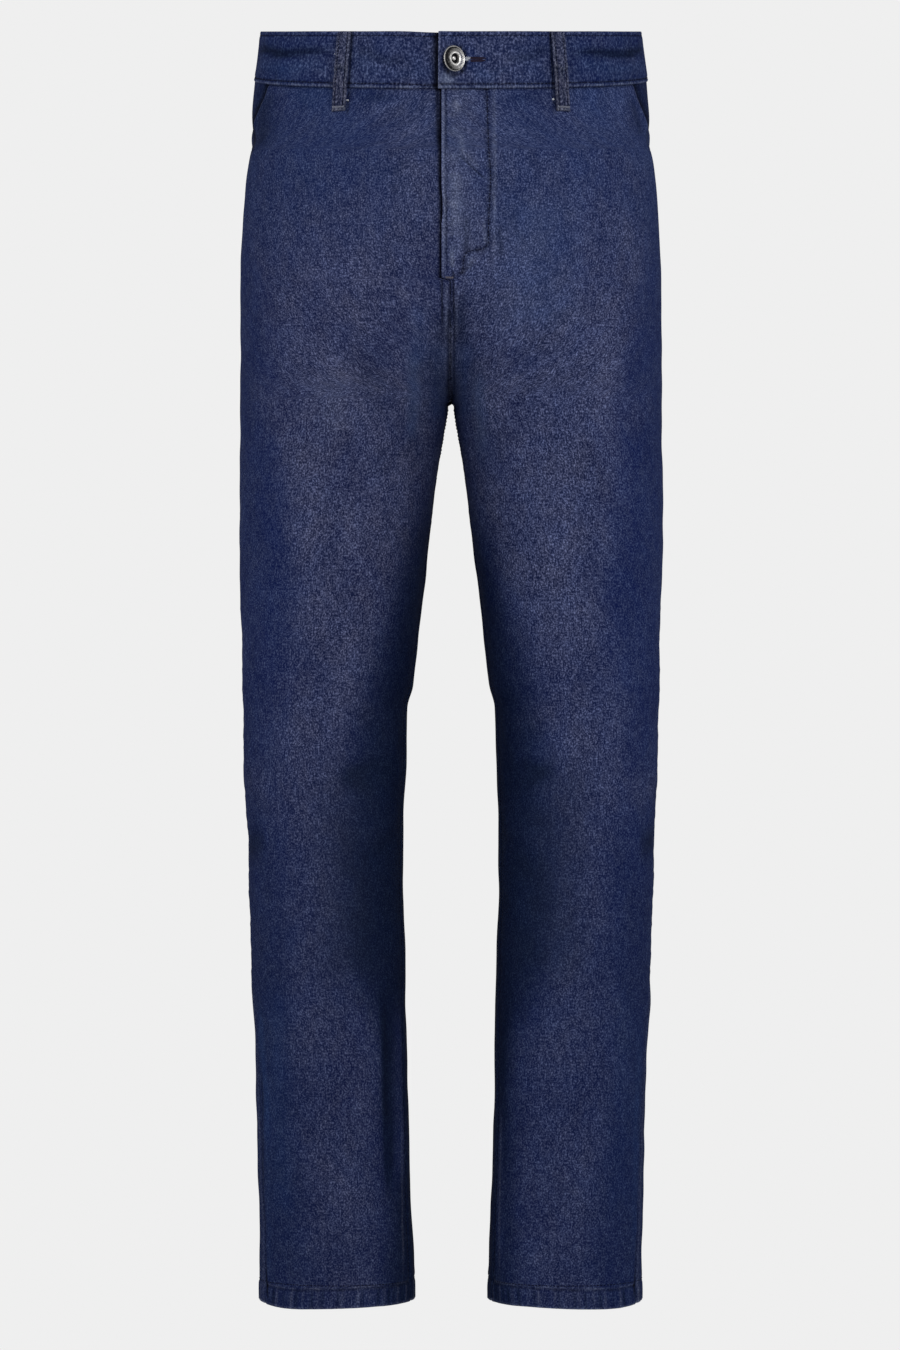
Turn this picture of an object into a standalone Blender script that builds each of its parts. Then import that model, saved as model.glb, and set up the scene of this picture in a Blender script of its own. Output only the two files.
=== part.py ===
"""Slim fit jeans, filled out and hollow, built as the pieces that are cut and sewn.

The origin is the middle of the waist, at half the height of the waistband. +X is the
wearer's left, -Y the front and +Z up. All lengths are in metres.
"""

import bpy
import numpy as np

# Cloth and seams
CLOTH = 0.0015  # wall of one layer of denim
HEM_CLOTH = 0.0030  # wall where the hem is turned up
BUTT = 0.00015  # each piece stops this far short of the seam line
LAY = 0.0003  # gap under a piece that lies on another
ROUND = 2.15  # exponent of the rounded sections, where 2 is an ellipse

# Waistband
BAND_TOP = 0.0195  # height of its upper edge at the side
SEAM = -0.0195  # height of the waist seam at the side
TOP_TILT = (0.155, 0.06)  # rise per metre of depth of the upper edge: front, back
SEAM_TILT = (0.200, 0.07)  # and of the waist seam, so the band is wider at the front
TILT_ENDS = -0.150  # height where rows are level again
BAND_WALL = 0.0030
BAND_PROUD = 0.0008  # its outer face stands this far outside the panels
BAND_END = 0.0100  # its upper end reaches this far past the centre line
BAND_UNDER = 0.0280  # its lower end reaches this far the other way, under the upper end
BAND_STEPS_DOWN = 0.0320  # length over which it sinks under the upper end
BAND_SUNK = np.radians(0.4)  # and it is all the way down this far before that end
BAND_CELLS = 60

# Legs
CROTCH = -0.2860
HEM = -1.0174
HEM_TALL = 0.0180
HEM_STEP = 0.0015  # length over which the wall thickens above it

# Scooped front pockets
MOUTH_WIDE = 0.0850  # along the waist seam, from the side seam
MOUTH_DEEP = 0.0580  # below the waist seam
MOUTH_CURVE = 1.7  # exponent of the scoop, where 1 is a straight slant
FACING_UNDER = 0.0140  # the facing reaches this far under the front
FACING_GAP = (0.0010, 0.0032)  # it lies this far under the front, at its top and bottom
FACING_PAST = np.radians(2)  # and this far round past the side seam, under the yoke
FACING_CELLS = 9

# Fly, the wearer's left over right
FLY_EDGE = 0.0075  # the left front reaches this far past the centre line
FLY_FOOT = -0.1830
FLY_FACING = 0.0310  # width of the J from the centre line
FLY_BEND = 0.0300  # height of the J's bend at its foot
FLY_POINT = 0.35  # part of its width that is left there
FACING_BACK = 0.0010  # the facing ends this far behind the fly's edge
ZIP_TAPE = 0.0130  # half width of the closed zip
SHIELD = 0.0200  # half width of the shield behind it
FLY_LAYER = 0.0005  # gap between the layers of the fly
TAPE_WALL = 0.0012

# Back
YOKE_SIDE = 0.0350  # depth of the yoke at the side seam
YOKE_DROP = 0.0270  # and how much deeper it is at the centre back
YOKE_EVENS_OUT = -0.2130  # height where the back's rows are level again
POCKET_COLUMNS = (2, 11)  # the patch pocket covers these columns and rows of the back
POCKET_ROWS = (1, 6)
POCKET_POINT = 0.95  # its bottom point reaches this part of the next row
POCKET_CORNER = 0.10  # and its bottom corners this part

# Belt loops
LOOP_TURNS = (31.5, 140.0, 180.0, 220.0, 328.5)  # degrees round the band from centre front
LOOP_WIDE = 0.0115
LOOP_WALL = 0.0018
LOOP_BELOW = 0.0200  # it ends this far below the waist seam
LOOP_SLACK = 0.0066  # how far its middle stands off, so that a belt goes through
LOOP_BEND = 3.5  # exponent of that bow, where more is flatter in the middle
LOOP_TOP = 0.0006  # its upper end lies this far below the band's edge
LOOP_RAMP = 0.0030  # length over which it comes down off the band
LOOP_CELLS = 12

# Button
BUTTON_X = 0.0
BUTTON_Z = -0.0193
BUTTON_TURN = 32.0  # degrees that it has turned on its shank
BUTTON_SHANK_GAP = 0.0022
BUTTON_SIDES = 20
BUTTON_PROFILE = (
    # radius, height
    (0.0030, 0.0000),
    (0.0030, 0.0044),
    (0.0088, 0.0048),
    (0.0103, 0.0056),
    (0.0101, 0.0065),
    (0.0072, 0.0080),
    (0.0046, 0.0074),
    (0.0035, 0.0064),
    (0.0033, 0.0054),
    (0.0017, 0.0054),
    (0.0016, 0.0068),
    (0.0009, 0.0073),
)

# The form of the wearer's left half, from the waist down. Lengths are in millimetres and
# angles in degrees. "outer" and "inner" are the sides of the tube, "front", "back" and
# "side" are depths at its front, back and widest point. Above the crotch the tube is cut
# off at the middle of the body: "split" is the angle round the tube where that cut meets
# the front. "inseam" and "outseam" say how far round the tube the two leg seams lie.
COLUMNS = ("height", "outer", "inner", "front", "back", "side", "split", "inseam", "outseam")
HEIGHT, OUTER, INNER, FRONT, BACK, SIDE, SPLIT, INSEAM, OUTSEAM = range(len(COLUMNS))
FORM = (
    (22, 154.8, 0.0, -103.5, 104, 0, 0, 0, 106),
    (0, 157.6, 0.0, -106, 107, 0, 0, 0, 106),
    (-20, 160.4, 0.0, -108, 111, 1, 0, 0, 106),
    (-65, 164.2, 0.0, -112, 120, 3, 0, 0, 106),
    (-118, 169.3, 0.0, -115, 130, 5, 0, 0, 104),
    (-155, 171.8, 0.0, -116, 134, 6, 3, 0, 103),
    (-190, 172.6, 0.0, -115, 134, 6, 14, 0, 101),
    (-224, 172.6, 0.0, -112, 128, 4, 30, 0, 99),
    (-255, 172.6, 0.0, -108, 117, 2, 53, 0, 97),
    (-275, 172.6, 0.0, -105, 109, 0, 75, 0, 96),
    (-286, 172.6, 0.3, -104, 105, -1, 90, 0, 96),
    (-306, 172.8, 4.5, -101, 99, -1, 90, 0, 95),
    (-339, 173.1, 10.7, -97, 92, -1, 90, 2, 94),
    (-388, 173.4, 16.5, -91, 84, -2, 90, 5, 92),
    (-438, 172.4, 22.2, -85, 77, -3, 90, 8, 91),
    (-487, 171.1, 28.2, -77, 70, -3, 90, 11, 90),
    (-516, 170.8, 31.0, -73, 66, -3, 90, 13, 89),
    (-534, 170.3, 35.6, -71, 64, -2, 90, 14, 88),
    (-585, 169.2, 37.0, -67, 63, -1, 90, 14, 87),
    (-634, 167.2, 39.0, -63, 65, 1, 90, 14, 86),
    (-684, 165.9, 39.2, -60, 67, 3, 90, 15, 85),
    (-733, 164.0, 37.4, -57, 67, 5, 90, 16, 83),
    (-831, 160.4, 35.8, -52, 63, 6, 90, 18, 72),
    (-930, 157.9, 33.1, -47, 58, 6, 90, 19, 68),
    (-979, 157.1, 31.0, -45, 57, 6, 90, 20, 66),
    (-1020, 157.0, 29.6, -44, 56, 6, 90, 20, 65),
)
SCALES = np.array([0.001] * 6 + [np.pi / 180] * 3)

LEG_ROWS = (
    CROTCH, -0.3000, -0.3300, -0.3850, -0.4500, -0.5150, -0.5340, -0.5900, -0.6600,
    -0.7350, -0.8150, -0.9000, HEM + HEM_TALL, HEM + HEM_TALL - HEM_STEP, HEM,
)  # fmt: skip
FRONT_ROWS = (
    SEAM, -0.0335, -0.0475, -0.0595, -0.0690, -0.0755, SEAM - MOUTH_DEEP, -0.0950,
    -0.1180, -0.1400, -0.1620, FLY_FOOT, FLY_FOOT - 0.006, -0.2130, -0.2390,
    -0.2600, -0.2740, *LEG_ROWS,
)  # fmt: skip
BACK_TOP = SEAM - YOKE_SIDE - YOKE_DROP / 2
BACK_ROWS = (
    BACK_TOP, -0.0860, -0.1140, -0.1420, -0.1700, -0.1960, -0.2130, -0.2330, -0.2500,
    -0.2640, -0.2760, *LEG_ROWS,
)  # fmt: skip
FRONT_CELLS = 11
BACK_CELLS = 13

LEFT = 1
RIGHT = -1


def form(column, height):
    """Smooth curve through one column of the table that never overshoots its rows."""
    table = np.array(FORM[::-1]) * SCALES
    knots, values = table[:, HEIGHT], table[:, column]
    rise = np.diff(values) / np.diff(knots)
    same_way = rise[1:] * rise[:-1] > 0
    both = np.where(same_way, rise[1:] + rise[:-1], 1.0)
    inner = np.where(same_way, 2 * rise[1:] * rise[:-1] / both, 0.0)
    slope = np.concatenate([rise[:1], inner, rise[-1:]])
    height = np.asarray(height, float)
    i = np.clip(np.searchsorted(knots, height) - 1, 0, len(knots) - 2)
    span = knots[i + 1] - knots[i]
    t = (height - knots[i]) / span
    return (
        (2 * t**3 - 3 * t**2 + 1) * values[i]
        + (t**3 - 2 * t**2 + t) * span * slope[i]
        + (3 * t**2 - 2 * t**3) * values[i + 1]
        + (t**3 - t**2) * span * slope[i + 1]
    )


def rounded(value):
    return np.sign(value) * np.abs(value) ** (2 / ROUND)


def skin(turn, height):
    """Outer face of the left half: an angle round the tube, 0 at the front, and a height."""
    outer = form(OUTER, height)
    cut = rounded(np.sin(form(SPLIT, height)))
    above = outer * cut / (1 + cut)
    below = (outer + form(INNER, height)) / 2
    middle = np.where(height > CROTCH, above, below)
    side = form(SIDE, height)
    depth = np.where(np.cos(turn) > 0, side - form(FRONT, height), form(BACK, height) - side)
    x = middle + (outer - middle) * rounded(np.sin(turn))
    y = side - depth * rounded(np.cos(turn))
    return np.stack(np.broadcast_arrays(x, y, height), axis=-1)


def outward(turn, height):
    """Unit normals of the skin."""
    small = 1e-4
    across = skin(turn + small, height) - skin(turn - small, height)
    up = skin(turn, height + small) - skin(turn, height - small)
    normal = np.cross(across, up)
    return normal / np.linalg.norm(normal, axis=-1, keepdims=True)


def tilted(height, turn, tilt):
    """Height of a row that falls towards the front and rises towards the back."""
    y = skin(turn, height)[..., 1]
    return height + y * np.where(y < 0, tilt[0], tilt[1])


def even_rows(base):
    """Tilt of the front's rows, which dies out as they go down."""
    evens_out = np.clip((base - TILT_ENDS) / (SEAM - TILT_ENDS), 0, 1)
    return SEAM_TILT[0] * evens_out, SEAM_TILT[1] * evens_out


def side_seam(base):
    """Height and angle of the side seam in the front's rows."""
    height = tilted(base, form(OUTSEAM, base), even_rows(base))
    return height, form(OUTSEAM, height)


def front_start(height):
    """Angle of the centre front seam, or of the inseam below the crotch."""
    return form(INSEAM, height) - form(SPLIT, height)


def back_end(height):
    """Angle of the centre back seam, or of the same inseam reached from behind."""
    return np.where(
        height > CROTCH, np.pi + form(SPLIT, height), 1.5 * np.pi + form(INSEAM, height)
    )


def turn_at_x(x, height):
    """Angle round the front where the skin is x from the middle of the body."""
    outer = form(OUTER, height)
    cut = rounded(np.sin(form(SPLIT, height)))
    middle = outer * cut / (1 + cut)
    share = (x - middle) / (outer - middle)
    return np.arcsin(np.sign(share) * np.abs(share) ** (ROUND / 2))


def back_along(turn, height, length):
    """The angle that lies a length of cloth before the given one, at the same height."""
    steps = np.linspace(0, np.pi / 2, 91)
    turns = np.asarray(turn)[..., None] - steps
    points = skin(turns, np.asarray(height)[..., None])
    runs = np.linalg.norm(np.diff(points, axis=-2), axis=-1).cumsum(axis=-1)
    found = [
        np.interp(wanted, np.concatenate([[0], run]), steps)
        for run, wanted in zip(runs.reshape(-1, 90), np.broadcast_to(length, turns.shape[:-1]).ravel())
    ]
    return turn - np.reshape(found, turns.shape[:-1])


def draw_in(points):
    """Moves the four borders of a grid in along the cloth, so that it clears its neighbours."""
    moves = (
        (points[0], points[1]),
        (points[-1], points[-2]),
        (points[:, 0], points[:, 1]),
        (points[:, -1], points[:, -2]),
    )
    for edge, neighbour in moves:
        step = neighbour - edge
        edge += BUTT * step / np.linalg.norm(step, axis=-1, keepdims=True)
    return points


def piece(turns, heights, side):
    """Points and normals of a grid of cloth on the skin, for either half of the body.

    A negative x is folded over to the other half, as cloth that crosses the middle lies.
    """
    start = front_start(heights)
    crosses = (turns < start) & (heights > CROTCH)
    folded = np.where(crosses, 2 * start - turns, turns)
    points, normals = skin(folded, heights), outward(folded, heights)
    flip = np.where(crosses, -1.0, 1.0)
    points[..., 0] *= flip
    normals[..., 0] *= flip
    beside = ~crosses & (np.abs(points[..., 0]) < BUTT)
    points[..., 0] = np.where(beside, BUTT, points[..., 0])
    draw_in(points)
    mirror = np.array([side, 1.0, 1.0])
    return points * mirror, normals * mirror


def wall(name, points, normals, lift, thick, material, side):
    """A closed wall of cloth: the grid moved out by lift, and again further in by thick."""
    rows, columns = points.shape[:2]
    outer = points + normals * lift
    inner = outer - normals * np.broadcast_to(thick, (rows,))[:, None, None]
    count = rows * columns
    face = np.arange(count).reshape(rows, columns)
    back = face + count

    def quads(a, b, c, d):
        return np.stack([a, b, c, d], axis=-1).reshape(-1, 4)

    faces = np.concatenate([
        quads(face[:-1, :-1], face[1:, :-1], face[1:, 1:], face[:-1, 1:]),
        quads(back[:-1, :-1], back[:-1, 1:], back[1:, 1:], back[1:, :-1]),
        quads(face[0, :-1], face[0, 1:], back[0, 1:], back[0, :-1]),
        quads(face[-1, 1:], face[-1, :-1], back[-1, :-1], back[-1, 1:]),
        quads(face[1:, 0], face[:-1, 0], back[:-1, 0], back[1:, 0]),
        quads(face[:-1, -1], face[1:, -1], back[1:, -1], back[:-1, -1]),
    ])  # fmt: skip
    # Each quad is cut along the same diagonal, so that pieces on one grid never cross.
    faces = np.concatenate([faces[:, [0, 1, 2]], faces[:, [0, 2, 3]]])
    if side == RIGHT:
        faces = faces[:, ::-1]
    vertices = np.concatenate([outer.reshape(-1, 3), inner.reshape(-1, 3)])
    return add_object(name, vertices.tolist(), faces.tolist(), material)


def add_object(name, vertices, faces, material):
    mesh = bpy.data.meshes.new(name)
    mesh.from_pydata(vertices, [], faces)
    mesh.materials.append(material)
    mesh.shade_smooth()
    mesh.set_sharp_from_angle(angle=np.radians(40))
    obj = bpy.data.objects.new(name, mesh)
    bpy.context.scene.collection.objects.link(obj)
    return obj


def plain_material(name, colour, roughness, metallic=0.0):
    material = bpy.data.materials.new(name)
    material.use_nodes = True
    shader = material.node_tree.nodes["Principled BSDF"]
    shader.inputs["Base Color"].default_value = (*colour, 1.0)
    shader.inputs["Roughness"].default_value = roughness
    shader.inputs["Metallic"].default_value = metallic
    return material


def leg_wall(base):
    """Wall of a front or a back, row by row: thicker where the hem is turned up."""
    return np.where(base < HEM + HEM_TALL - HEM_STEP / 2, HEM_CLOTH, CLOTH)


def add_front(side, denim):
    """One front, from the waist seam to the hem, cut away at the pocket mouth."""
    name = "front_left" if side == LEFT else "front_right"
    base = np.array(FRONT_ROWS)
    centre = front_start(base)
    at_edge = turn_at_x(FLY_EDGE, base)
    fly = at_edge if side == RIGHT else 2 * centre - at_edge
    start = np.where(base >= FLY_FOOT, fly, centre)
    down = np.clip((SEAM - base) / MOUTH_DEEP, 0, 1)
    mouth = MOUTH_WIDE * (1 - down**MOUTH_CURVE) ** (1 / MOUTH_CURVE)
    seam_height, outseam = side_seam(base)
    end = back_along(outseam, seam_height, mouth)
    turns = start[:, None] + (end - start)[:, None] * np.linspace(0, 1, FRONT_CELLS + 1)
    heights = tilted(base[:, None], turns, even_rows(base[:, None]))
    points, normals = piece(turns, heights, side)
    wall(name, points, normals, 0, leg_wall(base), denim, side)


def add_pocket_facing(side, denim):
    """The hip piece that shows in the pocket mouth, tucked under the front and the back."""
    name = "pocket_facing_left" if side == LEFT else "pocket_facing_right"
    base = SEAM - np.linspace(0, MOUTH_DEEP + FACING_UNDER, 6)
    seam_height, outseam = side_seam(base)
    start = back_along(outseam, seam_height, MOUTH_WIDE + FACING_UNDER)
    end = outseam + FACING_PAST
    turns = start[:, None] + (end - start)[:, None] * np.linspace(0, 1, FACING_CELLS + 1)
    heights = tilted(base[:, None], turns, even_rows(base[:, None]))
    points, normals = piece(turns, heights, side)
    gap = np.linspace(*FACING_GAP, len(base))[:, None, None]
    wall(name, points, normals, -CLOTH - gap, CLOTH, denim, side)


def back_grid():
    """Turns and heights of a back and its yoke, column by column from the side seam."""
    base = np.array(BACK_ROWS)[:, None]
    evens_out = np.clip((base - YOKE_EVENS_OUT) / (BACK_TOP - YOKE_EVENS_OUT), 0, 1)
    share = np.linspace(0, 1, BACK_CELLS + 1)
    heights = base
    # The seams' angles depend on the rows' heights, which depend on the angles a little.
    for _ in range(3):
        start, end = form(OUTSEAM, heights[:, :1]), back_end(heights[:, -1:])
        turns = start + (end - start) * share
        yoke_seam = tilted(SEAM, turns, SEAM_TILT) - YOKE_SIDE - YOKE_DROP * share
        heights = base + (yoke_seam - BACK_TOP) * evens_out
    return turns, heights


def add_back(side, denim, patch):
    """One back below the yoke, with its patch pocket laid on the same grid."""
    end = "left" if side == LEFT else "right"
    turns, heights = back_grid()
    points, normals = piece(turns, heights, side)
    wall(f"back_{end}", points, normals, 0, leg_wall(np.array(BACK_ROWS)), denim, side)

    top, bottom = POCKET_ROWS
    first, last = POCKET_COLUMNS
    rows = slice(top, bottom + 2)
    columns = slice(first, last + 1)
    patch_points = points[rows, columns].copy()
    patch_normals = normals[rows, columns]
    across = np.linspace(-1, 1, last - first + 1)
    point = POCKET_CORNER + (POCKET_POINT - POCKET_CORNER) * (1 - np.abs(across))[:, None]
    patch_points[-1] = patch_points[-2] + (patch_points[-1] - patch_points[-2]) * point
    wall(f"back_pocket_{end}", patch_points, patch_normals, LAY + CLOTH, CLOTH, patch, side)


def add_yoke(side, denim):
    """The yoke between the waist seam and the back."""
    name = "yoke_left" if side == LEFT else "yoke_right"
    share = np.linspace(0, 1, BACK_CELLS + 1)
    seam_turns = form(OUTSEAM, SEAM) + (np.pi - form(OUTSEAM, SEAM)) * share
    back_turns, back_heights = back_grid()
    down = np.linspace(0, 1, 4)[:, None]
    top = tilted(SEAM, seam_turns, SEAM_TILT)
    heights = top + (back_heights[0] - top) * down
    turns = seam_turns + (back_turns[0] - seam_turns) * down
    points, normals = piece(turns, heights, side)
    wall(name, points, normals, 0, CLOTH, denim, side)


def add_fly(denim, metal_grey):
    """Facing, closed zip and shield, one behind the other under the fly's edge."""
    base = np.linspace(SEAM, FLY_FOOT, 8)[:, None]
    bend = np.sqrt(np.clip((base - FLY_FOOT) / FLY_BEND, 0, 1))
    layers = (
        # name, reach to the wearer's right, reach to the left, cloth, width at the foot
        ("fly_facing", FLY_EDGE - FACING_BACK, FLY_FACING, CLOTH, FLY_POINT),
        ("zip", FLY_EDGE + ZIP_TAPE, ZIP_TAPE - FLY_EDGE, TAPE_WALL, 1),
        ("fly_shield", SHIELD + FLY_EDGE, SHIELD - FLY_EDGE, CLOTH, 1),
    )
    depth = CLOTH + FLY_LAYER
    for name, right, left, cloth, foot in layers:
        x = np.linspace(-right, left, 5) + 0 * bend
        x = np.where(x > 0, x * (foot + (1 - foot) * bend), x)
        start = front_start(base)
        beyond = turn_at_x(np.abs(x), base)
        turns = np.where(x < 0, 2 * start - beyond, beyond)
        points, normals = piece(turns, tilted(base, turns, even_rows(base)), LEFT)
        material = metal_grey if name == "zip" else denim
        wall(name, points, normals, -depth, cloth, material, LEFT)
        depth += cloth + FLY_LAYER


def band_grid(turns):
    """Points and normals of the waistband's outer face, from its top edge to the seam."""
    down = np.linspace(0, 1, 2)[:, None]
    top = tilted(BAND_TOP, turns, TOP_TILT)
    bottom = tilted(SEAM, turns, SEAM_TILT)
    heights = top + (bottom - top) * down
    turns = turns + 0 * down
    return skin(turns, heights), outward(turns, heights)


def add_waistband(denim):
    """One strip round the waist whose lower end goes under the upper end at the front."""
    upper_end = -turn_at_x(BAND_END, 0)
    lower_end = 2 * np.pi + turn_at_x(BAND_UNDER, 0)
    turns = np.linspace(upper_end, lower_end, BAND_CELLS + 1)
    goes_under = 2 * np.pi - turn_at_x(BAND_END, 0)
    starts_down = 2 * np.pi - turn_at_x(BAND_END + BAND_STEPS_DOWN, 0)
    nearest = np.abs(turns - goes_under).argmin()
    turns[nearest] = goes_under - BAND_SUNK
    points, normals = band_grid(turns)
    draw_in(points)
    sunk = np.clip((turns - starts_down) / (turns[nearest] - starts_down), 0, 1)
    sunk = sunk * sunk * (3 - 2 * sunk)
    lift = BAND_PROUD - sunk * (BAND_WALL + LAY + FLY_LAYER)
    wall("waistband", points, normals, lift[:, None], BAND_WALL, denim, LEFT)


def add_belt_loop(number, turn, denim):
    """A strip sewn down at both ends, over the band and a little way below its seam."""
    turn = np.radians(turn)
    down = np.linspace(0, 1, LOOP_CELLS + 1)[:, None]
    top = tilted(BAND_TOP, turn, TOP_TILT) - LOOP_TOP
    seam = tilted(SEAM, turn, SEAM_TILT)
    heights = top + (seam - LOOP_BELOW - top) * down + np.zeros(3)
    centre = skin(turn + 0 * down, heights[:, :1])
    reach = np.linalg.norm(skin(turn + 0.01, seam) - skin(turn - 0.01, seam)) / 0.02
    turns = turn + np.linspace(-0.5, 0.5, 3) * LOOP_WIDE / reach + 0 * down
    points, normals = skin(turns, heights), outward(turns, heights)
    normals[:] = normals[:, 1:2]
    points -= normals * ((points - centre) * normals).sum(axis=-1, keepdims=True)
    on_band = np.clip((heights[..., None] - seam) / LOOP_RAMP + 1, 0, 1)
    slack = LOOP_SLACK * (1 - np.abs(2 * down - 1) ** LOOP_BEND)[..., None]
    lift = LAY + LOOP_WALL + BAND_PROUD * on_band + slack
    wall(f"belt_loop_{number}", points, normals, lift, LOOP_WALL, denim, LEFT)


def add_button(metal):
    """A turned button with a sunken centre and a pin, on a shank, turned to one side."""
    around = np.linspace(0, 2 * np.pi, BUTTON_SIDES, endpoint=False)
    ring = np.stack([np.cos(around), np.sin(around), 0 * around], axis=-1)
    vertices = [[0, 0, BUTTON_PROFILE[0][1]]]
    for radius, height in BUTTON_PROFILE:
        vertices += (ring * radius + (0, 0, height)).tolist()
    vertices.append([0, 0, BUTTON_PROFILE[-1][1]])
    last = len(vertices) - 1
    faces = []
    for i in range(BUTTON_SIDES):
        j = (i + 1) % BUTTON_SIDES
        faces.append((0, 1 + j, 1 + i))
        for k in range(len(BUTTON_PROFILE) - 1):
            low, high = 1 + k * BUTTON_SIDES, 1 + (k + 1) * BUTTON_SIDES
            faces.append((low + i, low + j, high + j, high + i))
        top = last - BUTTON_SIDES
        faces.append((top + i, top + j, last))
    button = add_object("button", vertices, faces, metal)
    turn = turn_at_x(BUTTON_X, BUTTON_Z)
    seat, normal = skin(turn, BUTTON_Z), outward(turn, BUTTON_Z)
    button.location = seat + normal * (BAND_PROUD + BUTTON_SHANK_GAP)
    button.rotation_euler = (np.radians(90), 0, np.radians(BUTTON_TURN))


for old in list(bpy.data.objects):
    bpy.data.objects.remove(old, do_unlink=True)

indigo = plain_material("denim", (0.030, 0.039, 0.095), 0.85)
indigo_patch = plain_material("denim_patch", (0.033, 0.042, 0.100), 0.85)
indigo_band = plain_material("denim_band", (0.027, 0.037, 0.088), 0.85)
grey_loop = plain_material("denim_loop", (0.038, 0.043, 0.080), 0.88)
nickel = plain_material("antique_nickel", (0.42, 0.41, 0.39), 0.32, metallic=1.0)
dark_zip = plain_material("zip_metal", (0.10, 0.10, 0.11), 0.45, metallic=1.0)

for half in (LEFT, RIGHT):
    add_front(half, indigo)
    add_pocket_facing(half, indigo_patch)
    add_yoke(half, indigo)
    add_back(half, indigo, indigo_patch)
add_fly(indigo_patch, dark_zip)
add_waistband(indigo_band)
for count, loop_turn in enumerate(LOOP_TURNS, start=1):
    add_belt_loop(count, loop_turn, grey_loop)
add_button(nickel)
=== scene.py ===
"""Slim fit jeans dressed for a studio picture, in the frame of their solid model.

The origin is the middle of the waist, at half the height of the waistband. +X is the
wearer's left, -Y the front and +Z up. All lengths are in metres.
"""

import bpy
import numpy as np
from mathutils import Matrix, Vector
from mathutils.bvhtree import BVHTree


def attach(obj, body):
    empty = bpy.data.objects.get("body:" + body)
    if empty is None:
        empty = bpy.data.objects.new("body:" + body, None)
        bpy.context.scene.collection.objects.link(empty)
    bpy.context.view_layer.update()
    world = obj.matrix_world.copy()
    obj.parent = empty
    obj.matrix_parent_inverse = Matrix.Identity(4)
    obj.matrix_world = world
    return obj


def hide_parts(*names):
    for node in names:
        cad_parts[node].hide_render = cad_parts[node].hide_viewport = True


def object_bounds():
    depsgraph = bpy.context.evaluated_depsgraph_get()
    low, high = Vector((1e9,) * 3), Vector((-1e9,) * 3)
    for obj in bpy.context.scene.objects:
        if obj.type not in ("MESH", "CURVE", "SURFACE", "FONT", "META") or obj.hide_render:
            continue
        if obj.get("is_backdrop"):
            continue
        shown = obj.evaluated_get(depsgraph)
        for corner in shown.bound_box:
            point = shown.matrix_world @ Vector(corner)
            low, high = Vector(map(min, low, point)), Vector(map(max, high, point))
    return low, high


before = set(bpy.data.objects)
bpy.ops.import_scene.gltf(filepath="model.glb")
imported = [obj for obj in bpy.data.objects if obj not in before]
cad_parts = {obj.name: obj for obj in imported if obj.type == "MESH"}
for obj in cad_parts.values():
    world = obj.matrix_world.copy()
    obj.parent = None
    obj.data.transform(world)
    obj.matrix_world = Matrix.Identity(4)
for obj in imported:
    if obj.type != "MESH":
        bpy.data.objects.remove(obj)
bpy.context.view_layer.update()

# ---------------------------------------------------------------------------
# Fronts. The two front panels are single layers of indigo twill, cut from the waist seam
# to the hem, scooped away at the pocket mouth and lapped at the fly, left over right.
# They are sewn to the backs at the outseam and the inseam, and turned up at the hem.

LEFT = 1
RIGHT = -1
CLOTH = 0.0015
HEM_CLOTH = 0.0030
ROUND = 2.15  # exponent of the rounded sections, where 2 is an ellipse
BAND_TOP = 0.0195
SEAM = -0.0195
TOP_TILT = (0.155, 0.06)
SEAM_TILT = (0.200, 0.07)
TILT_ENDS = -0.150
CROTCH = -0.2860
HEM = -1.0174
HEM_TALL = 0.0155
MOUTH_WIDE = 0.0850
MOUTH_DEEP = 0.0580
MOUTH_CURVE = 1.7
FLY_EDGE = 0.0075
FLY_FOOT = -0.1830
SEAM_GAP = 0.00012  # half the gap between two pieces at a seam

# The wearer's left half of the form, in millimetres and degrees: height, outer and inner
# sides of the tube, its depths at the front, the back and its widest point, the angle of
# the cut at the middle of the body, and the angles of the inseam and the outseam.
HEIGHT, OUTER, INNER, FRONT, BACK, SIDE, SPLIT, INSEAM, OUTSEAM = range(9)
FORM = (
    (22, 154.8, 0.0, -103.5, 104, 0, 0, 0, 106),
    (0, 157.6, 0.0, -106, 107, 0, 0, 0, 106),
    (-20, 160.4, 0.0, -108, 111, 1, 0, 0, 106),
    (-65, 164.2, 0.0, -112, 120, 3, 0, 0, 106),
    (-118, 169.3, 0.0, -115, 130, 5, 0, 0, 104),
    (-155, 171.8, 0.0, -116, 134, 6, 3, 0, 103),
    (-190, 172.6, 0.0, -115, 134, 6, 14, 0, 101),
    (-224, 172.6, 0.0, -112, 128, 4, 30, 0, 99),
    (-255, 172.6, 0.0, -108, 117, 2, 53, 0, 97),
    (-275, 172.6, 0.0, -105, 109, 0, 75, 0, 96),
    (-286, 172.6, 0.3, -104, 105, -1, 90, 0, 96),
    (-306, 172.8, 4.5, -101, 99, -1, 90, 0, 95),
    (-339, 173.1, 10.7, -97, 92, -1, 90, 2, 94),
    (-388, 173.4, 16.5, -91, 84, -2, 90, 5, 92),
    (-438, 172.4, 22.2, -85, 77, -3, 90, 8, 91),
    (-487, 171.1, 28.2, -77, 70, -3, 90, 11, 90),
    (-516, 170.8, 31.0, -73, 66, -3, 90, 13, 89),
    (-534, 170.3, 35.6, -71, 64, -2, 90, 14, 88),
    (-585, 169.2, 37.0, -67, 63, -1, 90, 14, 87),
    (-634, 167.2, 39.0, -63, 65, 1, 90, 14, 86),
    (-684, 165.9, 39.2, -60, 67, 3, 90, 15, 85),
    (-733, 164.0, 37.4, -57, 67, 5, 90, 16, 83),
    (-831, 160.4, 35.8, -52, 63, 6, 90, 18, 72),
    (-930, 157.9, 33.1, -47, 58, 6, 90, 19, 68),
    (-979, 157.1, 31.0, -45, 57, 6, 90, 20, 66),
    (-1020, 157.0, 29.6, -44, 56, 6, 90, 20, 65),
)
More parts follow.
